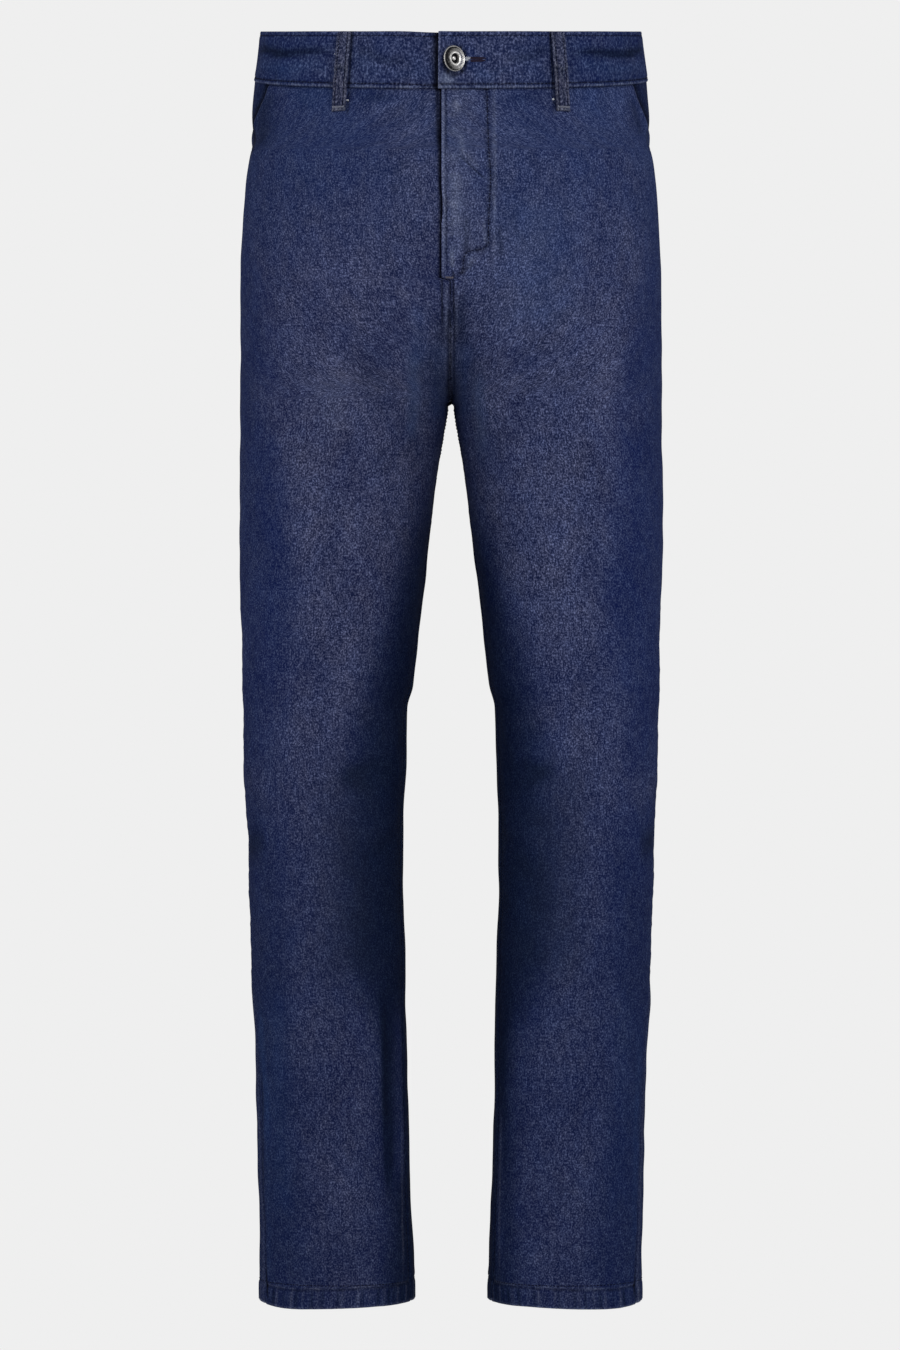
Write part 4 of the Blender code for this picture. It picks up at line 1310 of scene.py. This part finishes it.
def band_folds(turns, up):
    """Heights of the soft creases along the band: a bell across each and fading ends."""
    total = np.zeros(np.broadcast(turns, up).shape)
    for turn_a, turn_b, up_a, up_b, width, fold in BAND_FOLDS:
        share = (np.degrees(turns) - turn_a) / (turn_b - turn_a)
        centre = (up_a + (up_b - up_a) * share) / 1000 + 0.0012 * np.sin(9 * share)
        total += fold / 1000 * bell(up - centre, width / 1000) * fading_ends(share)
    return total


def band_relief(turns, up, down, run):
    """How far the band's face stands off, up from its foot, down from its top and a run
    from its upper end: a groove and puckers along each row of stitches, a rolled foot, a
    rolled end, soft creases, and the other end that sinks under it."""
    lift = BAND_PROUD + band_folds(turns, up) + 0.00025 * bell(up - 0.0010, 0.0010)
    for edge, row, pucker, period, start in (
        (up, BAND_FOOT_ROW, 0.00035, 0.0105, 0.0),
        (down, BAND_TOP_ROW, 0.00030, 0.0093, 0.3),
    ):
        puckers = pucker * ripple(run, period, start)
        lift = lift + puckers * bell(edge - 0.0045, 0.0045) - 0.00045 * bell(edge - row, 0.0009)
    lift += rolled_edge(run, *END_ROLL)
    return lift - BAND_SINKS * past(turns - GOES_UNDER, GOES_UNDER - STARTS_DOWN)


def end_caps(index):
    """Four-sided faces that close the first and last column of a closed section."""
    half = (len(index) - 2) // 2
    i = np.arange(half)
    first = quads(index[i, 0], index[i + 1, 0], index[-2 - i, 0], index[-1 - i, 0])
    last = quads(index[-1 - i, -1], index[-2 - i, -1], index[i + 1, -1], index[i, -1])
    return np.concatenate([first, last])


# The section goes up the face, over the fold, down the inside and round under the foot.
turns = np.concatenate([
    UPPER_END + (np.radians(4) - UPPER_END) * np.linspace(0, 1, 40, endpoint=False) ** 1.6,
    np.linspace(np.radians(4), LOWER_END, 1010),
])[None, :]
face = spread(22, crowding=0.85)
roll = np.linspace(0, np.pi, 7)[1:-1]
shares = np.concatenate([face, 1 + 0 * roll, np.linspace(1, 0, 9), 0 * roll])[:, None]
depths = np.concatenate([0 * face, (1 - np.cos(roll)) / 2, np.ones(9), (1 + np.cos(roll)) / 2])[:, None]
bulge = np.concatenate([0 * face, np.sin(roll), np.zeros(9), -np.sin(roll)])[:, None]
points, normals, tall = band_place(turns, shares)
up = shares * tall
down = tall - up
run = run_along(points[:1], axis=1) + 0 * shares
lift = band_relief(turns, up, down, run) + 0.0003 * waver(points, 0.06, 1.0)
surface = points + normals * (lift - depths * BAND_WALL)[..., None]
surface[..., 2] += bulge * BAND_WALL * 0.30

band_denim = make_denim("denim_band", (0.93, 0.97, 1.00), 1.0, 0.72)
index = np.arange(up.size).reshape(up.shape)
ring = np.concatenate([index, index[:1]])
faces = np.concatenate([quads(ring[:-1, :-1], ring[:-1, 1:], ring[1:, 1:], ring[1:, :-1]), end_caps(index)])
band = new_piece("waistband", surface.reshape(-1, 3), faces, band_denim)
add_uv(band, np.stack([run, up], axis=-1).reshape(-1, 2))

outside = depths < 0.5
x, y, z = np.moveaxis(points, -1, 0)
in_front = (y < 0) * outside
middle_front = limited(1.30 - np.abs(x) / 0.105) * in_front
folds = band_folds(turns, up)
dashes = np.clip(0.55 + 0.5 * np.sin(2 * np.pi * run / STITCH) + 0.7 * ripple(run, 0.031), 0.1, 1)
patch = bell(x + 0.0030, 0.0058) * bell(up - 0.0066, 0.0046) * in_front * (turns < 1)
under_lap = bell(np.maximum(GOES_UNDER - turns, 0) * 0.1, 0.0022) * (turns > STARTS_DOWN)
round_button = np.hypot((x - 0.0032) / 0.80, z - BUTTON_AT)
beside_loop = bell(np.abs(x) - 0.0790 - 0.055 * np.clip(-z, 0, 0.05), 0.0009) * in_front
# painted shade in the grooves of the rows of stitches
rows_dark = 0.74 * bell(up - BAND_FOOT_ROW, 0.0009) + 0.45 * bell(down - BAND_TOP_ROW, 0.0008)
# painted highlight on the creases' ridges through faded and clear, painted shade in their troughs through
# deep, and painted shade along the stitch rows, under the lapped end, beside the front loops and round the
# button
band_marks = {
    "worn": (
        0.78 * bell(up - 0.0003, 0.00045) * outside * dashes  # the rolled foot
        + 0.15 * bell(down, 0.0009) * dashes
        + 0.60 * bell(run - 0.0007, 0.0008) * (0.7 + 0.4 * ripple(up, 0.006)) * outside
        + 0.90 * bell(run - 0.0010, 0.0014) * bell(up - 0.0008, 0.0016)  # the upper end's corner
        + 0.80 * patch  # under the button
    ),
    "faded": 0.12 + 0.66 * middle_front + 0.25 * waver(points, 0.05) + 0.35 * limited(folds / 0.0007),
    "clear": outside * (
        0.12 + 0.14 * waver(points, 0.035, 6.0) + 0.45 * limited(folds / 0.0009) + 0.7 * patch
    ),
    "deep": 0.22 * (1 - middle_front) * outside + 0.90 * limited(-folds / 0.0010) * in_front,
    "sunk": (
        rows_dark * (0.75 + 0.25 * ripple(run, 0.013)) * outside
        + 0.92 * under_lap * outside
        + 0.75 * beside_loop
        + 0.95 * bell(round_button - 0.0113, 0.0015) * in_front * (turns < 1)
    ),
    "inside": (depths > 0.99) * 0.35 + 0 * up,
}
for mark, value in band_marks.items():
    add_mark(band, mark, limited(value))
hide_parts("waistband")
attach(band, "root")

# ---------------------------------------------------------------------------
# Belt loops. Five strips of greyer denim with both edges folded in, tacked down at the
# band's top edge and a little way below its seam, and bowed out between the tacks.

LOOP_TURNS = (31.5, 140.0, 180.0, 220.0, 328.5)
LOOP_WIDE = 0.0115
LOOP_LONG = 0.0620
LOOP_WALL = 0.0018
LOOP_BELOW = 0.0200
LOOP_SLACK = 0.0066
LOOP_BEND = 3.5
LOOP_TOP = 0.0006
LOOP_RAMP = 0.0030
LOOP_FRONT_X = (0.0845, 0.0893)  # the front loops lean: x at the top and at the foot


def loop_place(degrees, down, across):
    """Points and normals of a loop's outer face before its own relief: a flat strip whose
    normal is that of the skin at its middle line, bowed out between its two ends."""
    turn = np.radians(degrees)
    top = tilted(BAND_TOP, turn, TOP_TILT) - LOOP_TOP
    seam = tilted(SEAM, turn, SEAM_TILT)
    heights = top + (seam - LOOP_BELOW - top) * down
    in_front = np.cos(turn) > 0
    if in_front:
        leaning = turn_at_x(LOOP_FRONT_X[0] + (LOOP_FRONT_X[1] - LOOP_FRONT_X[0]) * down, heights)
        turn = leaning if np.sin(turn) > 0 else 2 * np.pi - leaning
    centre, normal = skin(turn, heights), outward(turn, heights)
    level = np.cross(np.array([0.0, 0.0, 1.0]), normal)
    level /= np.linalg.norm(level, axis=-1, keepdims=True)
    on_band = limited((heights - seam) / LOOP_RAMP + 1)
    slack = LOOP_SLACK * (1 - np.abs(2 * down - 1) ** LOOP_BEND)
    lift = LAY + LOOP_WALL + BAND_PROUD * on_band
    bows = np.array([0.0, -1.0, 0.0]) if in_front else normal
    points = centre + level * (across * LOOP_WIDE / 2)[..., None] + normal * lift[..., None]
    return points + bows * slack[..., None], normal


loop_denim = make_denim("denim_loop", (0.96, 0.92, 0.80), 1.0, 0.80)
for number, degrees in enumerate(LOOP_TURNS, start=1):
    name = f"belt_loop_{number}"
    down, across = spread(110, crowding=0.6), spread(27, crowding=0.75) * 2 - 1
    down, across = np.meshgrid(down, across, indexing="ij")
    inner_side = across * (1 if np.sin(np.radians(degrees)) < -0.01 else -1)
    points, normals = loop_place(degrees, down, across)

    # two grooves of stitches, a crease down the lower half, and a step where the band ends
    step = down - 0.46 - 0.02 * np.sin(3 * across + number)
    crease = past(down - 0.50, 0.12)
    lift = -0.0006 * bell(1 - np.abs(across), 0.06) + 0.00045 * bell(inner_side - 0.86, 0.09)
    lift -= 0.00050 * bell(inner_side - 0.62, 0.09) + 0.00030 * bell(inner_side + 0.66, 0.09)
    lift -= 0.00050 * bell(inner_side + 0.12, 0.13) * crease
    lift += 0.0005 * bell(step, 0.028) - 0.0006 * bell(step - 0.045, 0.025)
    lift -= 0.0006 * bell(down - 0.965, 0.018) + 0.0006 * bell(down - 0.03, 0.02)
    puckers = ripple(down * LOOP_LONG, 0.0085, 0.2 * number)
    lift += 0.00018 * puckers * bell(np.abs(across) - 0.75, 0.3)

    worn = 0.30 * bell(inner_side - 0.90, 0.08) + 0.12 * bell(inner_side + 0.90, 0.08)
    worn += 0.22 * bell(step, 0.020) + 0.45 * bell(down - 0.985, 0.012)
    # painted shade in the stitch grooves, along the crease and under the step, with an uneven tone
    dark = 0.45 * bell(inner_side - 0.62, 0.10) + 0.30 * bell(inner_side + 0.66, 0.09)
    dark += 0.50 * bell(inner_side + 0.12, 0.12) * crease
    dark += 0.40 * bell(step - 0.04, 0.022) + 0.22 * limited(waver(points, 0.02, number))
    loop = cloth_wall(
        name, points + normals * lift[..., None], normals, LOOP_WALL + lift, LEFT, loop_denim,
        faded=0.85, deep=limited(dark), worn=limited(worn),
    )
    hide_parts(name)
    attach(loop, "root")

# ---------------------------------------------------------------------------
# Stitches. Rows of dark blue thread: along both edges of the waistband, round the fly, on
# the yokes, the seat, the back pockets, the inseams, the hems and the loops' edges.

THREAD = 0.00030
ARC_SIDES = 6
ARC_STEPS = np.array([0.0, 0.30, 0.70, 1.0])
RAY_FROM = 0.03  # how far outside a piece the search for its face begins
IN_FRONT = -0.115  # y of the rows that are given by x and z, before they are laid on

INSEAM_ROW = 0.0024
YOKE_ROWS = (0.0018, 0.0078)
POCKET_ROWS = (0.0024, 0.0086)
POCKET_SIZE = (0.150, 0.130)
SEAT_ROWS = (0.0022, 0.0082)
SEAT_DEEP = 0.125
LOOP_ROWS = (-0.62, 0.62)
LOOP_STITCH = 0.0026
TACK_AT, TACK_HALF = 0.955, 0.013  # the loops' tacks, as shares of their length


def make_thread(name, colour):
    """A dull thread, lighter and darker along its twist."""
    material, tree, shader = new_material(name)
    place = add_node(tree, "ShaderNodeTexCoord").outputs["Object"]
    twist = speckle(tree, place, 1.0, 1400.0, 1.0, 0.3, 0.7)
    light, dark = tuple(1.35 * c for c in colour), tuple(0.65 * c for c in colour)
    wire(tree, blend_colours(tree, twist, dark, light), shader.inputs["Base Color"])
    shader.inputs["Roughness"].default_value = 0.8
    shader.inputs["Specular IOR Level"].default_value = 0.05
    return material


def lay_on(piece, points, normals):
    """The points moved along their normals onto the piece's outer face, which is met from
    outside, the normals of the face there, and whether it was met."""
    tree = BVHTree.FromObject(piece, bpy.context.evaluated_depsgraph_get())
    met = [
        tree.ray_cast(Vector(point + RAY_FROM * normal), Vector(-normal), 2 * RAY_FROM)
        for point, normal in zip(points, normals)
    ]
    found = np.array([hit[0] is not None for hit in met])
    spots = np.array([hit[0] or (0, 0, 0) for hit in met], float)
    return spots, np.array([hit[1] or (0, 0, 1) for hit in met], float), found


def read_along(where, run, values):
    """Values of a path, given at the lengths in run, read at other lengths along it."""
    return np.stack([np.interp(where, run, value) for value in values.T], axis=-1)


def row_of_stitches(piece, points, normals, pitch=STITCH, fill=0.78):
    """Starts, ends and normals of stitches along a path on a piece, one to each pitch, of
    which it fills a share."""
    path, outwards, found = lay_on(piece, points, normals)
    path, outwards = path[found], outwards[found]
    run = run_along(path)
    begins = np.arange(0, run[-1] - pitch, pitch)
    starts, ends = (read_along(begins + part * pitch, run, path) for part in (0, fill))
    return starts, ends, read_along(begins + pitch / 2, run, outwards)


def row_on_half(piece, turns, heights, side):
    """A row of stitches along turns and heights of one half."""
    points, normals = skin(turns, heights), outward(turns, heights)
    return row_of_stitches(piece, mirrored(points, side), mirrored(normals, side))


def stitches_between(piece, starts, ends):
    """Stitches from one row of points and normals to another, both laid on a piece."""
    (first, normals, found), (second, _, also) = lay_on(piece, *starts), lay_on(piece, *ends)
    both = found & also
    return first[both], second[both], normals[both]


def sew(name, rows, radius, material, rise=0.6):
    """One mesh of all the stitches in the rows. Each is an arc of four rings whose ends
    dive into the cloth: its middle is lifted by a share of the thread's own radius."""
    starts, ends, normals = (np.concatenate([row[i] for row in rows]) for i in range(3))
    normals = normals / np.linalg.norm(normals, axis=-1, keepdims=True)
    along = ends - starts
    across = np.cross(along, normals)
    across /= np.linalg.norm(across, axis=-1, keepdims=True)
    step = ARC_STEPS[None, :, None]
    lift = radius * (rise * 4 * step * (1 - step) - 0.5 * np.abs(2 * step - 1) ** 3)
    centre = starts[:, None] + along[:, None] * step + normals[:, None] * lift
    turn = np.linspace(0, 2 * np.pi, ARC_SIDES, endpoint=False)[:, None]
    ring = np.cos(turn) * normals[:, None] + np.sin(turn) * across[:, None]
    size = radius * np.array([0.5, 1.0, 1.0, 0.5])[None, :, None, None]
    points = centre[:, :, None] + ring[:, None] * size
    index = np.arange(points.size // 3).reshape(points.shape[:3])
    after = np.roll(index, -1, axis=2)
    sides = quads(index[:, :-1], after[:, :-1], after[:, 1:], index[:, 1:])
    foot, head = index[:, 0], index[:, -1]
    caps = [foot[:, [0, 5, 4, 3]], foot[:, [0, 3, 2, 1]], head[:, [0, 1, 2, 3]], head[:, [0, 3, 4, 5]]]
    piece = new_piece(name, points.reshape(-1, 3), np.concatenate([sides, *caps]), material)
    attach(piece, "root")


def line_through(corners, count):
    """Evenly spaced points along straight pieces between corners."""
    corners = np.array(corners, float)
    run = run_along(corners)
    return read_along(np.linspace(0, run[-1], count), run, corners)


dark_thread = make_thread("thread_dark", (0.0040, 0.0045, 0.0120))

row_turns = np.linspace(UPPER_END + 0.012, GOES_UNDER - 0.012, 900)
row_tall = band_place(row_turns, 0 * row_turns)[2]
band_rows = []
for share in (BAND_FOOT_ROW / row_tall, 1 - BAND_TOP_ROW / row_tall):
    points, normals, _ = band_place(row_turns, share)
    band_rows.append(row_of_stitches(pieces["waistband"], points, normals))
sew("thread_waistband", band_rows, THREAD, dark_thread)

fly_path = line_through(FLY_CURVE, 160) / 1000
fly_path = np.stack([fly_path[:, 0], IN_FRONT + 0 * fly_path[:, 0], fly_path[:, 1]], axis=-1)
fly_row = row_of_stitches(pieces["front_left"], fly_path, np.tile([0.0, -1.0, 0.0], (160, 1)))
front_rows = [fly_row]
for side, half in ((LEFT, "left"), (RIGHT, "right")):
    front = pieces[f"front_{half}"]
    heights = np.linspace(CROTCH - 0.004, HEM + 0.020, 500)
    turns = front_start(heights) + INSEAM_ROW / tube(heights)[1]
    front_rows.append(row_on_half(front, turns, heights, side))
    turns = np.linspace(front_start(HEM), form(OUTSEAM, HEM), 130)
    front_rows.append(row_on_half(front, turns, HEM + HEM_TALL + 0 * turns, side))
sew("thread_fronts", front_rows, THREAD, dark_thread)

back_rows_sewn = []
for side, half in ((LEFT, "left"), (RIGHT, "right")):
    turns = np.linspace(form(OUTSEAM, HEM), back_end(HEM), 150)
    back_rows_sewn.append(row_on_half(pieces[f"back_{half}"], turns, HEM + HEM_TALL + 0 * turns, side))
    for above in YOKE_ROWS:
        turns, heights = back_place(BACK_TOP, np.linspace(0.01, 0.99, 160))
        back_rows_sewn.append(row_on_half(pieces[f"yoke_{half}"], turns, heights + above, side))
    pocket = pieces[f"back_pocket_{half}"]
    for inside_edge in POCKET_ROWS:
        u, v = inside_edge / POCKET_SIZE[0], inside_edge / POCKET_SIZE[1]
        corners = ((u, 0.008), (u, 1 - v), (0.5, 1 - v), (1 - u, 1 - v), (1 - u, 0.008))
        turns, heights, _, _ = pocket_place(*line_through(corners, 360).T)
        back_rows_sewn.append(row_on_half(pocket, turns, heights, side))
    turns, heights = back_place(POCKET_TOP - POCKET_HEM, np.linspace(*POCKET_SHARES, 120)[4:-4])
    back_rows_sewn.append(row_on_half(pocket, turns, heights, side))
heights = np.linspace(BACK_TOP - 0.030, CROTCH + 0.012, 200)
for from_seam in SEAT_ROWS:
    turns = back_end(heights) - from_seam / SEAT_DEEP
    back_rows_sewn.append(row_on_half(pieces["back_left"], turns, heights, LEFT))
sew("thread_backs", back_rows_sewn, THREAD, dark_thread)

loop_rows, tacks = [], []
down, across = np.linspace(0.05, 0.96, 80), np.linspace(-0.86, 0.86, 17)
for number, degrees in enumerate(LOOP_TURNS, start=1):
    loop = pieces[f"belt_loop_{number}"]
    for edge in LOOP_ROWS:
        loop_rows.append(row_of_stitches(loop, *loop_place(degrees, down, edge + 0 * down), LOOP_STITCH))
    tops = loop_place(degrees, TACK_AT - TACK_HALF + 0 * across, across)
    feet = loop_place(degrees, TACK_AT + TACK_HALF + 0 * across, across)
    tacks.append(stitches_between(loop, tops, feet))
sew("thread_loops", loop_rows, THREAD * 0.9, dark_thread)

# ---------------------------------------------------------------------------
# Bartacks and buttonhole. Close-set pale stitches hold the loops' feet and the foot of the
# fly, and a darker brown purl runs round the end of the buttonhole.


def cross_stitches(piece, x_from, x_to, z_from, z_to, half, count, lean=0.0):
    """Short stitches across a line seen from the front, all in millimetres."""
    x, z = np.linspace(x_from, x_to, count), np.linspace(z_from, z_to, count)
    towards = np.tile([0.0, -1.0, 0.0], (count, 1))
    y = 1000 * IN_FRONT + 0 * x
    feet = np.stack([x - lean, y, z - half], axis=-1) / 1000
    tops = np.stack([x + lean, y, z + half], axis=-1) / 1000
    return stitches_between(pieces[piece], (feet, towards), (tops, towards))


pale_thread = make_thread("thread_pale", (0.165, 0.175, 0.230))
white_thread = make_thread("thread_white", (0.62, 0.64, 0.70))
brown_thread = make_thread("thread_brown", (0.017, 0.012, 0.024))
sew("bartacks", tacks, THREAD, pale_thread)
fly_tack = cross_stitches("front_left", -8.0, 1.6, -192.0, -192.3, 0.9, 19)
sew("bartack_fly", [fly_tack], 0.00028, make_thread("thread_grey", (0.105, 0.095, 0.115)))

taper = np.interp(np.linspace(0, 1, 26), [0, 0.75, 1], [1.0, 1.0, 0.3])
purl = [
    cross_stitches("waistband", 15.8, 27.6, -17.5, -17.6, 1.1 * taper, 26, 0.25),
    cross_stitches("waistband", 15.8, 27.0, -19.8, -19.4, 1.1 * taper, 26, -0.25),
]
sew("buttonhole_purl", purl, 0.00034, brown_thread)
wedge = [
    cross_stitches("waistband", 11.4, 14.8, -17.7, -18.0, 1.3, 6, 1.2),
    cross_stitches("waistband", 11.0, 13.0, -19.3, -19.2, 0.7, 4, -0.7),
]
sew("loose_threads", wedge, THREAD, make_thread("thread_ash", (0.30, 0.32, 0.37)), rise=1.2)
THREAD_ENDS = (
    # beside the front belt loops: the piece they lie on, x, z and half their length
    ("front_left", 81.3, -48.9, 0.9),
    ("front_right", -82.3, -49.6, 0.8),
    ("waistband", -92.0, -11.8, 0.4),
)
knots = [cross_stitches(piece, x - 0.4, x + 0.4, z, z, half, 2) for piece, x, z, half in THREAD_ENDS]
sew("thread_ends", knots, 0.00050, white_thread, rise=1.2)

# ---------------------------------------------------------------------------
# Button. A bare cap of worn nickel with a rolled rim, a raised lip round a hole, and a
# pin in the hole, on a shank that goes through the buttonhole, turned to one side.

BUTTON_X = -0.0008
BUTTON_TURN = 37.0
BUTTON_SHANK_GAP = 0.0022
BUTTON_SIDES = 96
PIN_RINGS, PIN_OFF = 6, 0.0012  # the pin's rings, and how far off the hole's middle it stands
BUTTON_PROFILE = (
    # radius and height in millimetres, and how dark the metal is there
    (0.001, 0.0, 0.8), (3.0, 0.0, 0.8), (3.0, 4.3, 0.9), (8.6, 4.6, 0.9), (9.7, 4.9, 0.5),
    (10.2, 5.35, 0.1), (10.3, 5.75, 0.0), (10.15, 6.15, 0.0), (9.85, 6.35, 0.0), (9.55, 6.25, 0.2),
    (9.3, 6.0, 0.85), (8.9, 5.95, 0.65), (8.2, 6.15, 0.30), (7.2, 6.60, 0.15), (6.2, 7.15, 0.10),
    (5.5, 7.50, 0.05), (5.0, 7.65, 0.0), (4.5, 7.62, 0.0), (4.1, 7.35, 0.1), (3.85, 6.8, 0.5),
    (3.75, 5.7, 0.95), (3.4, 5.2, 1.0), (2.2, 5.1, 1.0), (1.85, 5.3, 0.8), (1.8, 6.3, 0.2),
    (1.65, 7.0, 0.0), (1.2, 7.4, 0.0), (0.6, 7.6, 0.0), (0.001, 7.65, 0.0),
)
CLEAN_METAL, PATINA = (0.92, 0.91, 0.89), (0.014, 0.014, 0.016)


def make_nickel():
    """Material of the button: bare metal that goes dark and dull where it is marked, with
    patina in its hollows and painted shade on its left.
    """
    material, tree, shader = new_material("antique_nickel")
    place = add_node(tree, "ShaderNodeTexCoord").outputs["Object"]
    spots = speckle(tree, place, 1.0, 700.0, 3.0, 0.35, 0.75)
    patina = add_node(tree, "ShaderNodeAttribute", attribute_name="patina").outputs["Fac"]
    dirt = arithmetic(tree, "ADD", patina, arithmetic(tree, "MULTIPLY", spots, 0.16), clamp=True)
    wire(tree, blend_colours(tree, dirt, CLEAN_METAL, PATINA), shader.inputs["Base Color"])
    dull = arithmetic(tree, "ADD", 0.30, arithmetic(tree, "MULTIPLY", dirt, 0.35))
    wire(tree, dull, shader.inputs["Roughness"])
    shader.inputs["Metallic"].default_value = 1.0
    return material


radius, height, dark = np.hsplit(np.array(BUTTON_PROFILE), 3)
around = np.linspace(0, 2 * np.pi, BUTTON_SIDES, endpoint=False)
x = radius * np.cos(around) / 1000
x[-PIN_RINGS:] -= PIN_OFF
own = np.stack([x, radius * np.sin(around) / 1000, height / 1000 + 0 * x], axis=-1)
turned = Matrix.Rotation(np.radians(BUTTON_TURN), 3, "Z") @ Matrix.Rotation(np.radians(90), 3, "X")
button_turn = turn_at_x(BUTTON_X, BUTTON_AT)
seat = skin(button_turn, BUTTON_AT) + outward(button_turn, BUTTON_AT) * (BAND_PROUD + BUTTON_SHANK_GAP)
placed = own @ np.array(turned).T + seat
index = np.arange(x.size).reshape(x.shape)
after = np.roll(index, -1, axis=1)
faces = quads(index[:-1], after[:-1], after[1:], index[1:])
button = new_piece("button", placed.reshape(-1, 3), faces, make_nickel())

# painted highlight and shade: seen from in front, the dish is left clean on its right, where
# it would catch the light, and it and the rim are painted dark on their left
to_left = (1 - np.cos(around)) / 2
on_dish = np.interp(radius, [5.0, 6.2, 9.0, 9.4], [0.35, 1, 1, 0]) * (height > 5.5)
on_rim = np.interp(radius, [9.2, 9.5], [0, 1])
dark = dark * (1 - on_dish * 0.9 * (1 - to_left) ** 2)
dark = dark + on_dish * 0.78 * to_left**0.5 + on_rim * (0.15 + 0.36 * to_left)
add_mark(button, "patina", limited(dark))
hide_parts("button")
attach(button, "root")

# ---------------------------------------------------------------------------
# Studio. Pale paper with no horizon, a broad soft light from each side of the camera, a
# strip at each side, and the camera straight in front, level with the middle of the jeans.

PALE = (0.863, 0.863, 0.863, 1.0)
FLOOR_HALF = 4.0
FLOOR_AT = -1.12  # the jeans hang a little above it
CAMERA_AT = (-0.0008, -3.4, -0.5074)
PICTURE_TALL = 1.107  # height that the picture takes in, in the plane of the origin
SENSOR = 36.0  # long side of the sensor, in millimetres
LIGHTS = (
    # name, place, what it is aimed at, width and height, power in watts
    ("key", (0.9, -2.6, 0.6), (0.0, 0.0, -0.45), (1.4, 1.8), 34.0),
    ("fill", (-1.4, -2.4, 0.1), (0.0, 0.0, -0.5), (1.4, 2.0), 18.0),
    ("left_strip", (-2.0, -0.3, -0.4), (0.0, 0.0, -0.5), (0.5, 2.0), 10.0),
    ("right_strip", (2.0, -0.3, -0.4), (0.0, 0.0, -0.5), (0.5, 2.0), 10.0),
)


def seen_apart(owner, output, *shaders):
    """Gives a world or a material two shaders, each a kind and its settings: the first for
    the camera's own rays and the second for all other rays."""
    owner.use_nodes = True
    tree = owner.node_tree
    tree.nodes.clear()
    seen, lighting = (add_node(tree, kind, **settings) for kind, settings in shaders)
    path = add_node(tree, "ShaderNodeLightPath")
    mix = add_node(tree, "ShaderNodeMixShader")
    out = add_node(tree, output)
    wire(tree, path.outputs["Is Camera Ray"], mix.inputs[0])
    wire(tree, lighting.outputs[0], mix.inputs[1])
    wire(tree, seen.outputs[0], mix.inputs[2])
    wire(tree, mix.outputs[0], out.inputs["Surface"])


scene = bpy.context.scene
scene.view_settings.view_transform = "Standard"
scene.world = bpy.data.worlds.new("studio")
seen_apart(
    scene.world,
    "ShaderNodeOutputWorld",
    ("ShaderNodeBackground", {"Color": PALE, "Strength": 1.0}),
    ("ShaderNodeBackground", {"Color": PALE, "Strength": 0.45}),
)
paper = bpy.data.materials.new("floor_paper")
seen_apart(
    paper,
    "ShaderNodeOutputMaterial",
    ("ShaderNodeEmission", {"Color": PALE, "Strength": 1.0}),
    ("ShaderNodeBsdfDiffuse", {"Color": (0.5, 0.5, 0.5, 1.0)}),
)
corners = np.array([[-1, -1, 0], [1, -1, 0], [1, 1, 0], [-1, 1, 0]]) * FLOOR_HALF + [0, 0, FLOOR_AT]
floor = new_piece("floor", corners, np.array([[0, 1, 2, 3]]), paper)
floor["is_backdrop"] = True

for name, place, aim, size, power in LIGHTS:
    lamp = bpy.data.lights.new(name, "AREA")
    lamp.shape = "RECTANGLE"
    lamp.size, lamp.size_y = size
    lamp.energy = power
    light = bpy.data.objects.new(name, lamp)
    scene.collection.objects.link(light)
    x, y, z = np.array(aim) - np.array(place)
    light.location = place
    light.rotation_euler = (np.arctan2(np.hypot(x, y), -z), 0, np.arctan2(-x, y))

camera_data = bpy.data.cameras.new("camera")
camera_data.lens = SENSOR * -CAMERA_AT[1] / PICTURE_TALL
camera = bpy.data.objects.new("camera", camera_data)
scene.collection.objects.link(camera)
camera.location = CAMERA_AT
camera.rotation_euler = (np.pi / 2, 0, 0)
scene.camera = camera

low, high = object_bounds()
